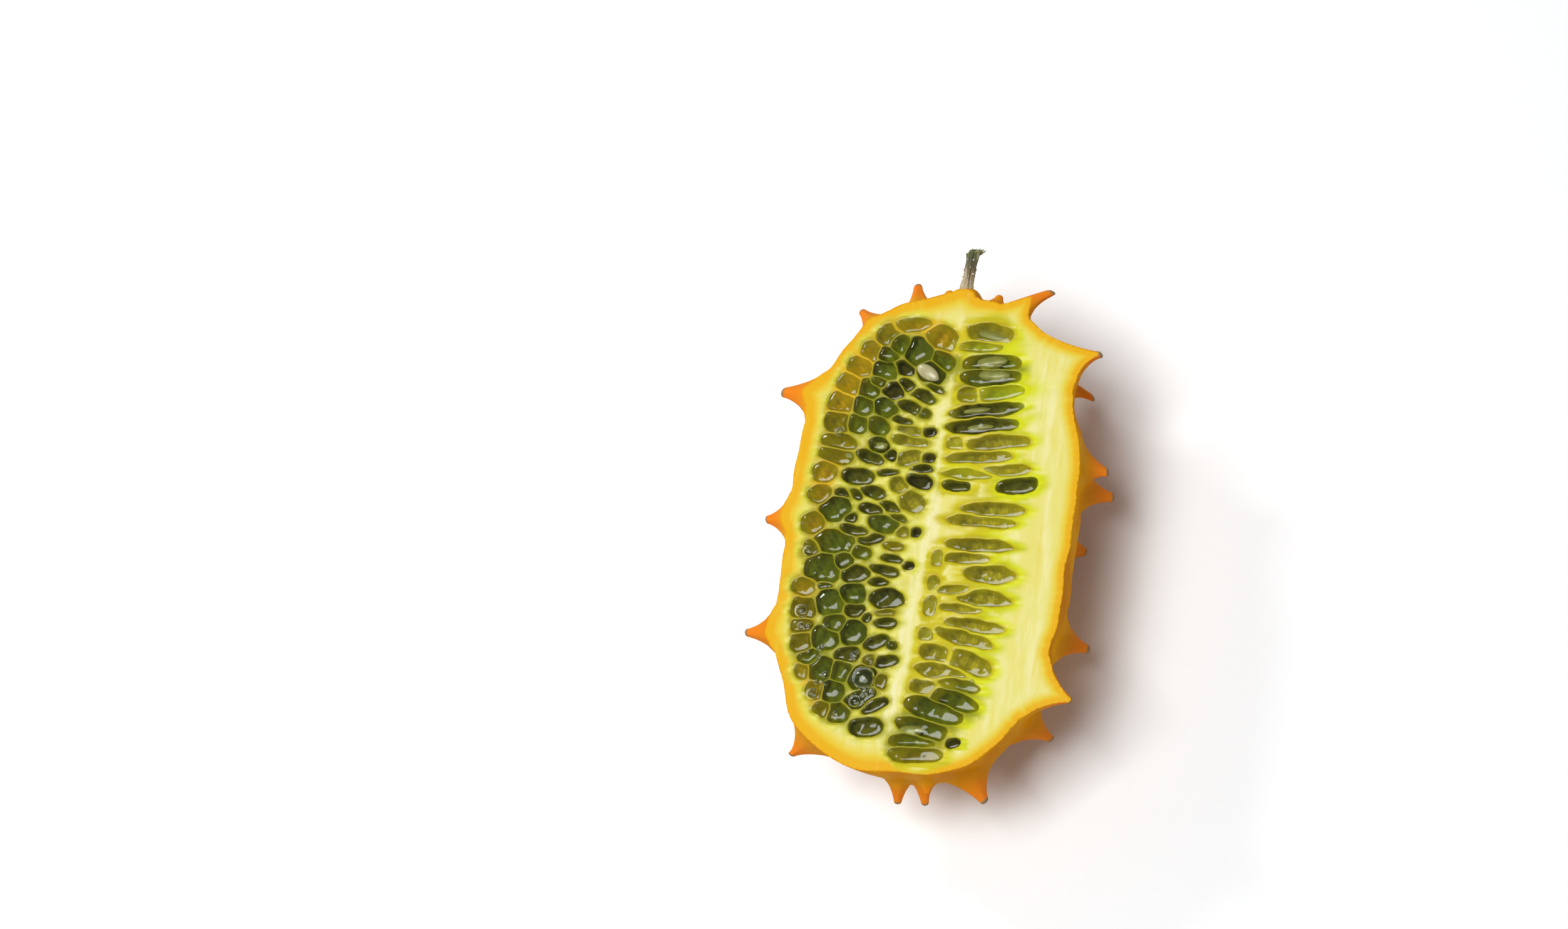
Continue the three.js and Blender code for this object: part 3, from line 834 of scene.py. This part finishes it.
def build_rind_and_flesh(body, colours, sacs):
    """The rind's shell closed by the cut face, with the fields that its two materials read."""
    shell, field = rind_shell(body)
    loop = cut_outline(shell)
    outline = np.array([(v.co.x, v.co.y) for v in loop])
    placed, faces, origin = cut_face(outline)
    depth, inside = bed_depth(placed)
    skin = nearest(placed, outline)
    depth = depth * smooth(0.3, 1.5, skin)
    shell.verts.index_update()
    shell_points = np.array([v.co[:] for v in shell.verts])
    shell_faces = [[v.index for v in f.verts] for f in shell.faces]
    horn = [v[field] for v in shell.verts]
    count = len(shell_points)
    index = np.empty(len(placed), int)
    extra = []
    for i, source in enumerate(origin):
        if 0 <= source < len(loop):
            index[i] = loop[source].index
        else:
            index[i] = count + len(extra)
            extra.append(i)
    shell.free()
    spot, skin, inside = placed[extra], skin[extra], inside[extra]
    points = np.concatenate([shell_points, np.column_stack([spot, -depth[extra]])])
    top_faces = facing_up(faces, placed, index).tolist()
    materials = [rind_material(colours), flesh_material(colours)]
    piece = make_object("rind_and_flesh_skin", points, shell_faces + top_faces, materials)
    slots = [0] * len(shell_faces) + [1] * len(top_faces)
    piece.data.polygons.foreach_set("material_index", slots)
    colour, cover = paint_seed_bed(spot, colours, sacs)
    wall = (np.abs(spot[:, 0] - wall_middle(spot[:, 1])) / wall_half(spot[:, 1])).clip(0, 3)
    wall += smooth(9.0, 4.0, skin)
    thinner = 1.0 + 0.7 * smooth(-5.0, 20.0, spot[:, 0])
    blank = np.zeros(count)
    add_field(piece, "horn", np.concatenate([horn, np.zeros(len(extra))]))
    add_field(piece, "skin", np.concatenate([blank, skin * thinner]))
    add_field(piece, "hollow", np.concatenate([blank, np.clip(inside, 0, 3)]))
    add_field(piece, "bed", np.concatenate([blank, cover]))
    add_field(piece, "wall", np.concatenate([blank + 9, wall]))
    # the bed colour holds the sacs' own tones, painted light on the sacs and painted shade in the pits
    add_colour(piece, "bed_colour_and_painted_light", np.concatenate([np.zeros((count, 3)), colour]))
    return piece


# --- Materials ---


def new_material(name):
    """A material with its node tree and its main shader."""
    material = bpy.data.materials.new(name)
    material.use_nodes = True
    tree = material.node_tree
    return material, tree, tree.nodes["Principled BSDF"]


def field_node(tree, name, output="Fac"):
    """A number or colour that was stored at the mesh's points."""
    node = tree.nodes.new("ShaderNodeAttribute")
    node.attribute_name = name
    return node.outputs[output]


def ramp_node(tree, value, low, high, stops):
    """Turns a number between low and high into a colour. Each stop is a share of the way and a colour."""
    span = tree.nodes.new("ShaderNodeMapRange")
    span.inputs["From Min"].default_value = low
    span.inputs["From Max"].default_value = high
    tree.links.new(value, span.inputs["Value"])
    ramp = tree.nodes.new("ShaderNodeValToRGB")
    bar = ramp.color_ramp
    while len(bar.elements) > 1:
        bar.elements.remove(bar.elements[-1])
    bar.elements[0].position = stops[0][0]
    bar.elements[0].color = (*stops[0][1], 1.0)
    for place, colour in stops[1:]:
        element = bar.elements.new(place)
        element.color = (*colour, 1.0)
    tree.links.new(span.outputs["Result"], ramp.inputs["Fac"])
    return ramp.outputs["Color"]


def mix_node(tree, share, first, second):
    """A mix of two colours by a share, which may be a number or a socket."""
    node = tree.nodes.new("ShaderNodeMix")
    node.data_type = "RGBA"
    for socket, value in ((node.inputs[0], share), (node.inputs[6], first), (node.inputs[7], second)):
        if isinstance(value, bpy.types.NodeSocket):
            tree.links.new(value, socket)
        elif isinstance(value, (int, float)):
            socket.default_value = value
        else:
            socket.default_value = (*value, 1.0)
    return node.outputs[2]


def span_node(tree, value, low, high, start=0.0, end=1.0):
    """Maps a number from one range to another, smoothly."""
    node = tree.nodes.new("ShaderNodeMapRange")
    node.interpolation_type = "SMOOTHSTEP"
    node.inputs["From Min"].default_value = low
    node.inputs["From Max"].default_value = high
    node.inputs["To Min"].default_value = start
    node.inputs["To Max"].default_value = end
    tree.links.new(value, node.inputs["Value"])
    return node.outputs["Result"]


def multiply_node(tree, first, second):
    """The product of two numbers or sockets."""
    node = tree.nodes.new("ShaderNodeMath")
    node.operation = "MULTIPLY"
    for socket, value in zip(node.inputs, (first, second)):
        if isinstance(value, bpy.types.NodeSocket):
            tree.links.new(value, socket)
        else:
            socket.default_value = value
    return node.outputs[0]


def noise_node(tree, scale, detail=3.0, stretch=(1, 1, 1), roughness=0.55):
    """Noise over the piece. The scale is in ripples per metre."""
    where = tree.nodes.new("ShaderNodeTexCoord")
    mapping = tree.nodes.new("ShaderNodeMapping")
    mapping.inputs["Scale"].default_value = stretch
    tree.links.new(where.outputs["Object"], mapping.inputs["Vector"])
    node = tree.nodes.new("ShaderNodeTexNoise")
    node.inputs["Scale"].default_value = scale
    node.inputs["Detail"].default_value = detail
    node.inputs["Roughness"].default_value = roughness
    tree.links.new(mapping.outputs["Vector"], node.inputs["Vector"])
    return node.outputs["Fac"]


def bump_node(tree, shader, height, distance, strength=1.0):
    """Fine relief on a shader. The distance is in metres."""
    node = tree.nodes.new("ShaderNodeBump")
    node.inputs["Strength"].default_value = strength
    node.inputs["Distance"].default_value = distance
    tree.links.new(height, node.inputs["Height"])
    tree.links.new(node.outputs["Normal"], shader.inputs["Normal"])


def rind_material(colours):
    """Waxy orange skin, redder on the horns, with corky tips."""
    material, tree, shader = new_material("waxy_rind")
    horn = field_node(tree, "horn")
    patch = span_node(tree, noise_node(tree, 60.0), 0.3, 0.7)
    body = mix_node(tree, patch, colours.rind, (0.74, 0.33, 0.008))
    freckle = span_node(tree, noise_node(tree, 900.0, 2.0), 0.64, 0.74, 0.0, 0.35)
    body = mix_node(tree, freckle, body, (0.62, 0.24, 0.02))
    grown = mix_node(tree, span_node(tree, horn, 0.05, 0.7), body, colours.horn)
    tip = mix_node(tree, span_node(tree, horn, 0.86, 0.95), grown, colours.cork)
    tree.links.new(tip, shader.inputs["Base Color"])
    rough = span_node(tree, noise_node(tree, 350.0), 0.3, 0.7, 0.34, 0.46)
    tree.links.new(rough, shader.inputs["Roughness"])
    shader.inputs["Subsurface Weight"].default_value = 0.05
    shader.inputs["Subsurface Radius"].default_value = (1.0, 0.42, 0.10)
    shader.inputs["Subsurface Scale"].default_value = 0.0018
    shader.inputs["Specular IOR Level"].default_value = 0.0
    shader.inputs["Coat Weight"].default_value = 0.07
    shader.inputs["Coat Roughness"].default_value = 0.25
    bump_node(tree, shader, noise_node(tree, 700.0, 4.0), 0.00012, 0.6)
    return material


def flesh_material(colours):
    """Moist cut flesh, from the skin in to the wall, with the coloured beds of the sacs and the light and
    shade painted into them.
    """
    material, tree, shader = new_material("cut_flesh")
    skin = field_node(tree, "skin")
    gradient = ramp_node(
        tree,
        skin,
        0.0,
        12.0,
        [
            (0.0, colours.skin_edge),
            (0.05, colours.golden_flesh),
            (0.17, colours.golden_flesh),
            (0.30, colours.outer_flesh),
            (0.52, colours.inner_flesh),
            (1.0, colours.inner_flesh),
        ],
    )
    streak = span_node(tree, noise_node(tree, 150.0, 5.0, (1.6, 0.3, 1.0), 0.62), 0.42, 0.68)
    pale_zone = multiply_node(tree, streak, span_node(tree, skin, 3.0, 8.0, 0.0, 0.8))
    flesh = mix_node(tree, pale_zone, gradient, colours.pale_flesh)
    vein = span_node(tree, noise_node(tree, 330.0, 4.0, (1.8, 0.25, 1.0)), 0.55, 0.75, 0.0, 0.45)
    flesh = mix_node(tree, vein, flesh, colours.outer_flesh)
    fibre = span_node(tree, noise_node(tree, 260.0, 5.0, (2.2, 0.2, 1.0)), 0.35, 0.65, 0.35, 1.0)
    wall = span_node(tree, field_node(tree, "wall"), 0.55, 1.25, 1.0, 0.0)
    flesh = mix_node(tree, multiply_node(tree, wall, fibre), flesh, colours.wall)
    cloud = span_node(tree, noise_node(tree, 380.0, 4.0), 0.3, 0.75, 0.0, 0.1)
    bed = mix_node(tree, cloud, field_node(tree, "bed_colour_and_painted_light", "Color"), colours.glow)
    flesh = mix_node(tree, field_node(tree, "bed"), flesh, bed)
    tree.links.new(flesh, shader.inputs["Base Color"])
    dry = span_node(tree, noise_node(tree, 260.0), 0.3, 0.7, 0.42, 0.6)
    tree.links.new(dry, shader.inputs["Roughness"])
    shader.inputs["Subsurface Weight"].default_value = 0.08
    shader.inputs["Subsurface Radius"].default_value = (1.0, 0.75, 0.25)
    shader.inputs["Subsurface Scale"].default_value = 0.0012
    shader.inputs["Specular IOR Level"].default_value = 0.1
    ridge = span_node(tree, field_node(tree, "hollow"), 0.15, 0.5, 0.8, 0.0)
    tree.links.new(multiply_node(tree, ridge, field_node(tree, "bed")), shader.inputs["Coat Weight"])
    shader.inputs["Coat Roughness"].default_value = 0.1
    shader.inputs["Coat IOR"].default_value = 1.25
    bump_node(tree, shader, noise_node(tree, 420.0, 4.0), 0.00028, 0.6)
    return material


def juice_material(name, tint, strength):
    """Clear juicy gel: light passes through it and takes on its colour with depth."""
    material, tree, shader = new_material(name)
    shader.inputs["Base Color"].default_value = (0.92, 0.96, 0.80, 1.0)
    shader.inputs["Transmission Weight"].default_value = 1.0
    shader.inputs["Roughness"].default_value = 0.04
    shader.inputs["IOR"].default_value = 1.36
    bump_node(tree, shader, noise_node(tree, 300.0, 1.0), 0.0010, 0.35)
    volume = tree.nodes.new("ShaderNodeVolumeAbsorption")
    volume.inputs["Color"].default_value = (*tint, 1.0)
    volume.inputs["Density"].default_value = strength
    tree.links.new(volume.outputs["Volume"], tree.nodes["Material Output"].inputs["Volume"])
    return material


def seed_material(name, pale):
    """A smooth moist seed coat."""
    material, tree, shader = new_material(name)
    lighter = [min(1.0, 1.25 * part) for part in pale]
    colour = mix_node(tree, span_node(tree, noise_node(tree, 500.0), 0.35, 0.7), pale, lighter)
    tree.links.new(colour, shader.inputs["Base Color"])
    shader.inputs["Roughness"].default_value = 0.35
    shader.inputs["Subsurface Weight"].default_value = 0.4
    shader.inputs["Subsurface Radius"].default_value = (1.0, 0.8, 0.4)
    shader.inputs["Subsurface Scale"].default_value = 0.0015
    shader.inputs["Coat Weight"].default_value = 0.3
    shader.inputs["Coat Roughness"].default_value = 0.15
    return material


def stem_material():
    """Dry fibrous bark that changes colour along the stem."""
    material, tree, shader = new_material("dry_stem")
    along = field_node(tree, "along")
    colour = ramp_node(
        tree,
        along,
        0.0,
        1.5,
        [
            (0.0, (0.42, 0.25, 0.09)),
            (0.16, (0.40, 0.30, 0.16)),
            (0.36, (0.17, 0.12, 0.06)),
            (0.52, (0.10, 0.10, 0.045)),
            (0.66, (0.09, 0.105, 0.035)),
            (0.76, (0.26, 0.27, 0.10)),
            (0.86, (0.34, 0.34, 0.14)),
            (0.93, (0.80, 0.76, 0.62)),
        ],
    )
    fibre = span_node(tree, noise_node(tree, 800.0, 4.0, (1.0, 0.12, 1.0)), 0.46, 0.66, 0.0, 0.75)
    colour = mix_node(tree, fibre, colour, (0.52, 0.44, 0.29))
    tree.links.new(colour, shader.inputs["Base Color"])
    shader.inputs["Roughness"].default_value = 0.85
    bump_node(tree, shader, noise_node(tree, 1400.0, 4.0, (1.0, 0.2, 1.0)), 0.0004)
    return material


# --- Seed sacs ---


def sac_shape(which, dome):
    """One sac as a closed pillow: a domed top and a bottom sunk into the flesh under it."""
    spokes, steps = 40, 44
    centre = HOLLOWS.centre[which]
    along = HOLLOWS.along[which]
    across = np.array([-along[1], along[0]])
    angles = np.arange(spokes) * 2 * math.pi / spokes
    spoke = np.outer(np.cos(angles) * HOLLOWS.long[which], along)
    spoke += np.outer(np.sin(angles) * HOLLOWS.short[which], across)
    shares = np.linspace(0.0, 1.12, steps)
    grid = centre + spoke[:, None, :] * shares[None, :, None]
    owner, inside = HOLLOWS.inside(grid.reshape(-1, 2))[:2]
    good = ((owner == which) & (inside > -0.12)).reshape(spokes, steps)
    good[:, 0] = True
    first_bad = np.where(good.all(1), steps - 1, np.argmin(good, 1) - 1)
    edge = shares[np.clip(first_bad, 1, steps - 1)]
    edge = (np.roll(edge, 1) + 2 * edge + np.roll(edge, -1)) / 4
    rings = np.array([0.22, 0.42, 0.6, 0.75, 0.87, 0.95, 1.0])
    ring_points = centre + spoke[None, :, :] * (rings[:, None] * edge[None, :])[:, :, None]
    flat = ring_points.reshape(-1, 2)
    lift = 0.02 + 0.06 * min(dome, 1.0)
    radial = np.repeat(rings, spokes)
    top_z = lift + dome * np.sqrt(np.clip(1 - radial**3.4, 0, 1)) - 0.22 * radial**8
    depth = bed_depth(flat)[0]
    bottom_z = np.minimum(-depth - 0.25, -0.45)
    bottom_z[-spokes:] = -0.5
    top = np.array([[*centre, lift + dome]])
    bottom = np.array([[*centre, -bed_depth(centre[None, :])[0][0] - 0.25]])
    points = np.concatenate(
        [top, np.column_stack([flat, top_z]), np.column_stack([flat, bottom_z]), bottom]
    )
    below = 1 + len(flat)
    top_rim, bottom_rim, last = below - spokes, below + len(flat) - spokes, len(points) - 1
    faces = band_faces(1, spokes, len(rings)) + band_faces(below, spokes, len(rings), turned=True)
    for s in range(spokes):
        t = (s + 1) % spokes
        faces.append((0, 1 + s, 1 + t))
        faces.append((last, below + t, below + s))
        faces.append((top_rim + s, bottom_rim + s, bottom_rim + t, top_rim + t))
    return points, faces


def bubble_shape(place, radius):
    """An air bubble that stands half out of the juice, as a closed flattened ball."""
    return seed_shape((*place, 0.35), (radius, radius, 0.75 * radius), 0, rings=8, point=0.0)


def sac_under(x, y):
    """The number of the sac that a place lies in, and how deep its bed is there."""
    place = np.array([[x, y]], float)
    return int(HOLLOWS.inside(place)[0][0]), float(bed_depth(place)[0][0])


def build_sacs(nodes, materials):
    """One piece for each CAD node, made of the sacs that lie in it with their bubbles and inner seeds."""
    extras = {}
    for x, y, long_half, short_half, turn in INNER_SEEDS:
        which, depth = sac_under(x, y)
        half = (long_half, short_half, min(0.6, 0.3 * depth))
        shape = seed_shape((x, y, -0.55 - half[2]), half, turn, point=0.12)
        extras.setdefault(HOLLOWS.node[which], []).append((*shape, "seed"))
    for x, y, radius in BUBBLES:
        which = sac_under(x, y)[0]
        extras.setdefault(HOLLOWS.node[which], []).append((*bubble_shape((x, y), radius), "bubble"))
    names = list(materials)
    for node in nodes:
        shapes = list(extras.get(node, []))
        for which, owner in enumerate(HOLLOWS.node):
            if owner == node:
                height = HOLLOWS.dome[which] * (0.7 + 0.6 * spread(which, 11))
                shapes.append((*sac_shape(which, height), "juice"))
        points, faces, slots = [], [], []
        for own_points, own_faces, name in shapes:
            faces += [tuple(i + len(points) for i in face) for face in own_faces]
            slots += [names.index(name)] * len(own_faces)
            points += list(own_points)
        piece = make_object(node + "_gel", points, faces, materials.values())
        piece.data.polygons.foreach_set("material_index", slots)
        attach(piece, "root")
        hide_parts(node)


def seed_shape(centre, half, turn, tilt=0.0, sides=20, rings=12, point=0.35):
    """A flat oval seed that is a little pointed at one end."""
    points = []
    for r in range(1, rings):
        latitude = math.pi * r / rings
        for s in range(sides):
            longitude = 2 * math.pi * s / sides
            x = -math.cos(latitude)
            round_part = math.sin(latitude) ** 0.85
            narrow = 1.0 - point * max(x, 0.0) ** 2
            y = round_part * math.cos(longitude) * narrow
            z = round_part * math.sin(longitude)
            points.append((x * half[0], y * half[1], z * half[2]))
    points.insert(0, (-half[0], 0.0, 0.0))
    points.append((half[0], 0.0, 0.0))
    last = len(points) - 1
    faces = band_faces(1, sides, rings - 1)
    for s in range(sides):
        t = (s + 1) % sides
        faces.append((0, 1 + s, 1 + t))
        faces.append((last - sides + s, last, last - sides + t))
    turned = Matrix.Rotation(math.radians(turn), 3, "Z") @ Matrix.Rotation(math.radians(tilt), 3, "X")
    placed = np.array(points) @ np.array(turned).T + np.asarray(centre)
    return placed, faces


# --- Operators ---


class MELON_OT_rind_and_flesh(bpy.types.Operator):
    """Build the horned rind with its flesh, central wall and the hollows of its seed chambers"""

    bl_idname = "melon.rind_and_flesh"
    bl_label = "Rind and flesh"

    def execute(self, context):
        scene = context.scene
        piece = build_rind_and_flesh(scene.melon_body, scene.melon_colours, scene.melon_sacs)
        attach(piece, "root")
        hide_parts("rind_and_flesh")
        return {"FINISHED"}


class MELON_OT_seed_sacs(bpy.types.Operator):
    """Fill the hollows of both chambers with juicy seed sacs"""

    bl_idname = "melon.seed_sacs"
    bl_label = "Seed sacs"

    def execute(self, context):
        sacs = context.scene.melon_sacs
        materials = {
            "juice": juice_material("clear_juice", sacs.juice, sacs.strength),
            "bubble": juice_material("bubble_skin", sacs.juice, 0.0),
            "seed": seed_material("inner_seed", sacs.inner_seed),
        }
        build_sacs(RIGHT_NODES, materials)
        build_sacs(LEFT_NODES, materials)
        return {"FINISHED"}


class MELON_OT_seeds(bpy.types.Operator):
    """Lay the bare seed on the left chamber"""

    bl_idname = "melon.seeds"
    bl_label = "Seeds"

    def execute(self, context):
        material = seed_material("pale_seed", context.scene.melon_sacs.seed)
        points, faces = seed_shape(*BARE_SEED, sides=32, rings=20, point=0.1)
        piece = make_object("bare_seed_skin", points, faces, [material])
        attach(piece, "root")
        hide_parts("bare_seed")
        return {"FINISHED"}


def strand(start, end, width, bend):
    """One thin dry strand that tapers to a point."""
    start, end = np.array(start), np.array(end)
    direction = (end - start) / np.linalg.norm(end - start)
    side = np.cross(direction, [0.3, 0.2, 1.0])
    side /= np.linalg.norm(side)
    other = np.cross(direction, side)
    sides, rings = 5, 5
    points = []
    for r in range(rings):
        t = r / (rings - 1)
        centre = start + (end - start) * t + side * bend * math.sin(math.pi * t)
        for s in range(sides):
            angle = 2 * math.pi * s / sides
            around = side * math.cos(angle) + other * math.sin(angle)
            points.append(centre + width * (1.0 - 0.85 * t) * around)
    faces = [tuple(range(sides))[::-1], tuple(range((rings - 1) * sides, rings * sides))]
    return points, faces + band_faces(0, sides, rings, turned=True)


def stem_strands():
    """The frayed strands at the stem's cut end and the pale hairs along it."""
    x, y, z = STEM_FOOT
    made = []
    for k in range(FRAYED_STRANDS):
        angle = 2 * math.pi * k / FRAYED_STRANDS
        inset = 0.45 + 0.9 * spread(k, 31)
        start = (x + STEM_DRIFT + inset * math.cos(angle), y + STRAND_HEIGHT, z + inset * math.sin(angle))
        lean = 0.3 + 1.3 * max(math.cos(angle), -0.2) + 0.5 * (spread(k, 32) - 0.5)
        rise = 0.3 + 0.6 * spread(k, 33) + 0.5 * max(math.cos(angle), 0)
        end = (start[0] + lean, start[1] + rise, start[2] + 0.7 * math.sin(angle))
        made.append((strand(start, end, 0.28, 0.15), 1.15))
    for k in range(HAIRS):
        angle = 2 * math.pi * spread(k, 34)
        place = 0.04 + 0.8 * spread(k, 35) ** 1.4
        start = (x + math.cos(angle), y + STRAND_HEIGHT * place, z + math.sin(angle))
        reach = 0.35 + 0.75 * spread(k, 36)
        sway = 1.4 * (spread(k, 37) - 0.5)
        end = (start[0] + reach * math.cos(angle), start[1] + sway, start[2] + reach * math.sin(angle))
        made.append((strand(start, end, 0.24, 0.05), 1.4))
    return made


def stem_stalk():
    """The ridged stalk, with knots and a ragged foot. Also how far along it each point is."""
    sides, rings = 60, 90
    x, y, z = STEM_FOOT
    points, along = [], []
    for r in range(rings + 1):
        t = r / rings
        radius = 1.08 + 1.0 * (1 - t) ** 3 + 0.55 * t**4 + 0.18 * math.exp(-(((t - 0.62) / 0.03) ** 2))
        for s in range(sides):
            angle = 2 * math.pi * s / sides
            ridge = 1 + 0.16 * math.cos(4 * angle + 0.8 * t) + 0.07 * math.cos(11 * angle + 3 * t)
            rough = 1 + 0.10 * (spread(s + 7 * (r // 6), 21) - 0.5) + 0.05 * math.sin(17 * t + 3 * angle)
            own = radius * ridge * rough
            slant = 0.5 * math.cos(angle) * (r / rings) ** 6
            here = (own * math.cos(angle), STEM_HEIGHT * t + slant, -own * math.sin(angle))
            points.append((x + STEM_DRIFT * t**2 + here[0], y + here[1], z + here[2]))
            along.append(t)
    faces = band_faces(0, sides, rings + 1, turned=True)
    faces.append(tuple(range(sides))[::-1])
    last = rings * sides
    points.append((x + STEM_DRIFT, y + STEM_HEIGHT - 0.6, z))
    along.append(1.0)
    for s in range(sides):
        faces.append((last + s, last + (s + 1) % sides, len(points) - 1))
    return points, along, faces


class MELON_OT_stem(bpy.types.Operator):
    """Build the dry ridged stem with its pale hairs and its frayed end"""

    bl_idname = "melon.stem"
    bl_label = "Stem"

    def execute(self, context):
        points, along, faces = stem_stalk()
        for (own_points, own_faces), tone in stem_strands():
            faces += [tuple(i + len(points) for i in face) for face in own_faces]
            points += [tuple(point) for point in own_points]
            along += [tone] * len(own_points)
        piece = make_object("stem_bark", points, faces, [stem_material()])
        add_field(piece, "along", along)
        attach(piece, "root")
        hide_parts("stem")
        return {"FINISHED"}


FLOOR_REACH = 3.0  # metres from the melon to each side of the floor


class MELON_OT_studio(bpy.types.Operator):
    """Set up the floor, the lights and the camera"""

    bl_idname = "melon.studio"
    bl_label = "Studio"

    def execute(self, context):
        scene = context.scene
        studio = scene.melon_studio
        build_floor(studio)
        build_lights(scene, studio)
        build_camera(scene, studio)
        return {"FINISHED"}


def build_floor(studio):
    """A large plain floor."""
    material, _, shader = new_material("studio_floor")
    shader.inputs["Base Color"].default_value = (*studio.floor, 1.0)
    shader.inputs["Roughness"].default_value = 0.7
    shader.inputs["Specular IOR Level"].default_value = 0.15
    mesh = bpy.data.meshes.new("studio_floor")
    far = FLOOR_REACH
    mesh.from_pydata([(-far, -far, 0), (far, -far, 0), (far, far, 0), (-far, far, 0)], [], [(0, 1, 2, 3)])
    mesh.materials.append(material)
    floor = bpy.data.objects.new("studio_floor", mesh)
    bpy.context.scene.collection.objects.link(floor)


def aim(thing, place, target, up=(0, 0, 1)):
    """Puts a light or camera in place, looking at a target, with its top towards up."""
    back = (Vector(place) - Vector(target)).normalized()
    right = Vector(up).cross(back).normalized()
    top = back.cross(right)
    rows = [(right[k], top[k], back[k], place[k]) for k in range(3)]
    thing.matrix_world = Matrix((*rows, (0, 0, 0, 1)))


def add_light(scene, name, size, power, place, target_height):
    """A square light that shines on the melon's middle."""
    light = bpy.data.lights.new(name, "AREA")
    light.size = size
    light.energy = power
    lamp = bpy.data.objects.new(name, light)
    scene.collection.objects.link(lamp)
    aim(lamp, place, (0.0, 0.0, target_height))


def build_lights(scene, studio):
    """The sky and three square lights."""
    world = bpy.data.worlds.new("studio_sky")
    world.use_nodes = True
    sky = world.node_tree.nodes["Background"]
    sky.inputs["Color"].default_value = (0.91, 0.98, 1.06, 1.0)
    sky.inputs["Strength"].default_value = studio.sky
    scene.world = world
    add_light(scene, "key_light", 0.62, studio.key_power, (-0.13, -0.15, 1.22), 0.03)
    add_light(scene, "side_light", 0.5, studio.side_power, (-1.0, 0.12, 0.62), 0.03)
    add_light(scene, "glint_light", 0.14, studio.glint_power, (-0.60, 0.42, 0.60), 0.04)
    scene.view_settings.view_transform = "Standard"


VIEW_ANGLES = (18, 14)  # how far the camera stands to the right of straight above and to the blossom end
VIEW_LEAN = 8.93  # how far the fruit leans in the view, in degrees
VIEW_WIDTH = 0.3794  # metres that the view takes in at the cut face
VIEW_SHIFT = (0.0348, 0.0162)  # how far the aim is left of the cut face's middle and above it
SENSOR_WIDTH = 36.0


def view_direction(side, tip):
    """The direction from the fruit to the camera."""
    x, y = math.sin(math.radians(side)), -math.sin(math.radians(tip))
    return Vector((x, y, math.sqrt(1 - x * x - y * y)))


def build_camera(scene, studio):
    """A camera that looks down on the cut face from the front and a little from the right."""
    back = view_direction(*VIEW_ANGLES)
    up = (Vector((0, 1, 0)) - back * back.y).normalized()
    right = up.cross(back)
    lean = math.radians(VIEW_LEAN)
    level_right = right * math.cos(lean) + up * math.sin(lean)
    level_up = up * math.cos(lean) - right * math.sin(lean)
    middle = Vector(MIDDLE * 0.001)
    place = middle + back * (VIEW_WIDTH * studio.lens / SENSOR_WIDTH)
    target = middle - level_right * VIEW_SHIFT[0] + level_up * VIEW_SHIFT[1]
    data = bpy.data.cameras.new("studio_camera")
    data.lens = studio.lens
    data.sensor_width = SENSOR_WIDTH
    camera = bpy.data.objects.new("studio_camera", data)
    scene.collection.objects.link(camera)
    aim(camera, place, target, level_up)
    scene.camera = camera


class MELON_PT_sidebar(bpy.types.Panel):
    """Lists the melon's settings and the steps that build it"""

    bl_label = "Horned melon half"
    bl_idname = "MELON_PT_sidebar"
    bl_space_type = "VIEW_3D"
    bl_region_type = "UI"
    bl_category = "Melon"

    def draw(self, context):
        scene = context.scene
        for group in (scene.melon_body, scene.melon_colours, scene.melon_sacs, scene.melon_studio):
            box = self.layout.box()
            for name in group.__annotations__:
                box.prop(group, name)
        for operator in OPERATORS:
            self.layout.operator(operator.bl_idname)


GROUPS = {
    "melon_body": MelonBody,
    "melon_colours": MelonColours,
    "melon_sacs": MelonSacs,
    "melon_studio": MelonStudio,
}
OPERATORS = (
    MELON_OT_rind_and_flesh,
    MELON_OT_seed_sacs,
    MELON_OT_seeds,
    MELON_OT_stem,
    MELON_OT_studio,
)


def register():
    for name, group in GROUPS.items():
        bpy.utils.register_class(group)
        setattr(bpy.types.Scene, name, PointerProperty(type=group))
    for operator in OPERATORS:
        bpy.utils.register_class(operator)
    bpy.utils.register_class(MELON_PT_sidebar)


def unregister():
    bpy.utils.unregister_class(MELON_PT_sidebar)
    for operator in reversed(OPERATORS):
        bpy.utils.unregister_class(operator)
    for name, group in GROUPS.items():
        delattr(bpy.types.Scene, name)
        bpy.utils.unregister_class(group)


def main():
    """Builds everything."""
    register()
    bpy.ops.melon.rind_and_flesh()
    bpy.ops.melon.seed_sacs()
    bpy.ops.melon.seeds()
    bpy.ops.melon.stem()
    bpy.ops.melon.studio()


if __name__ == "__main__":
    main()
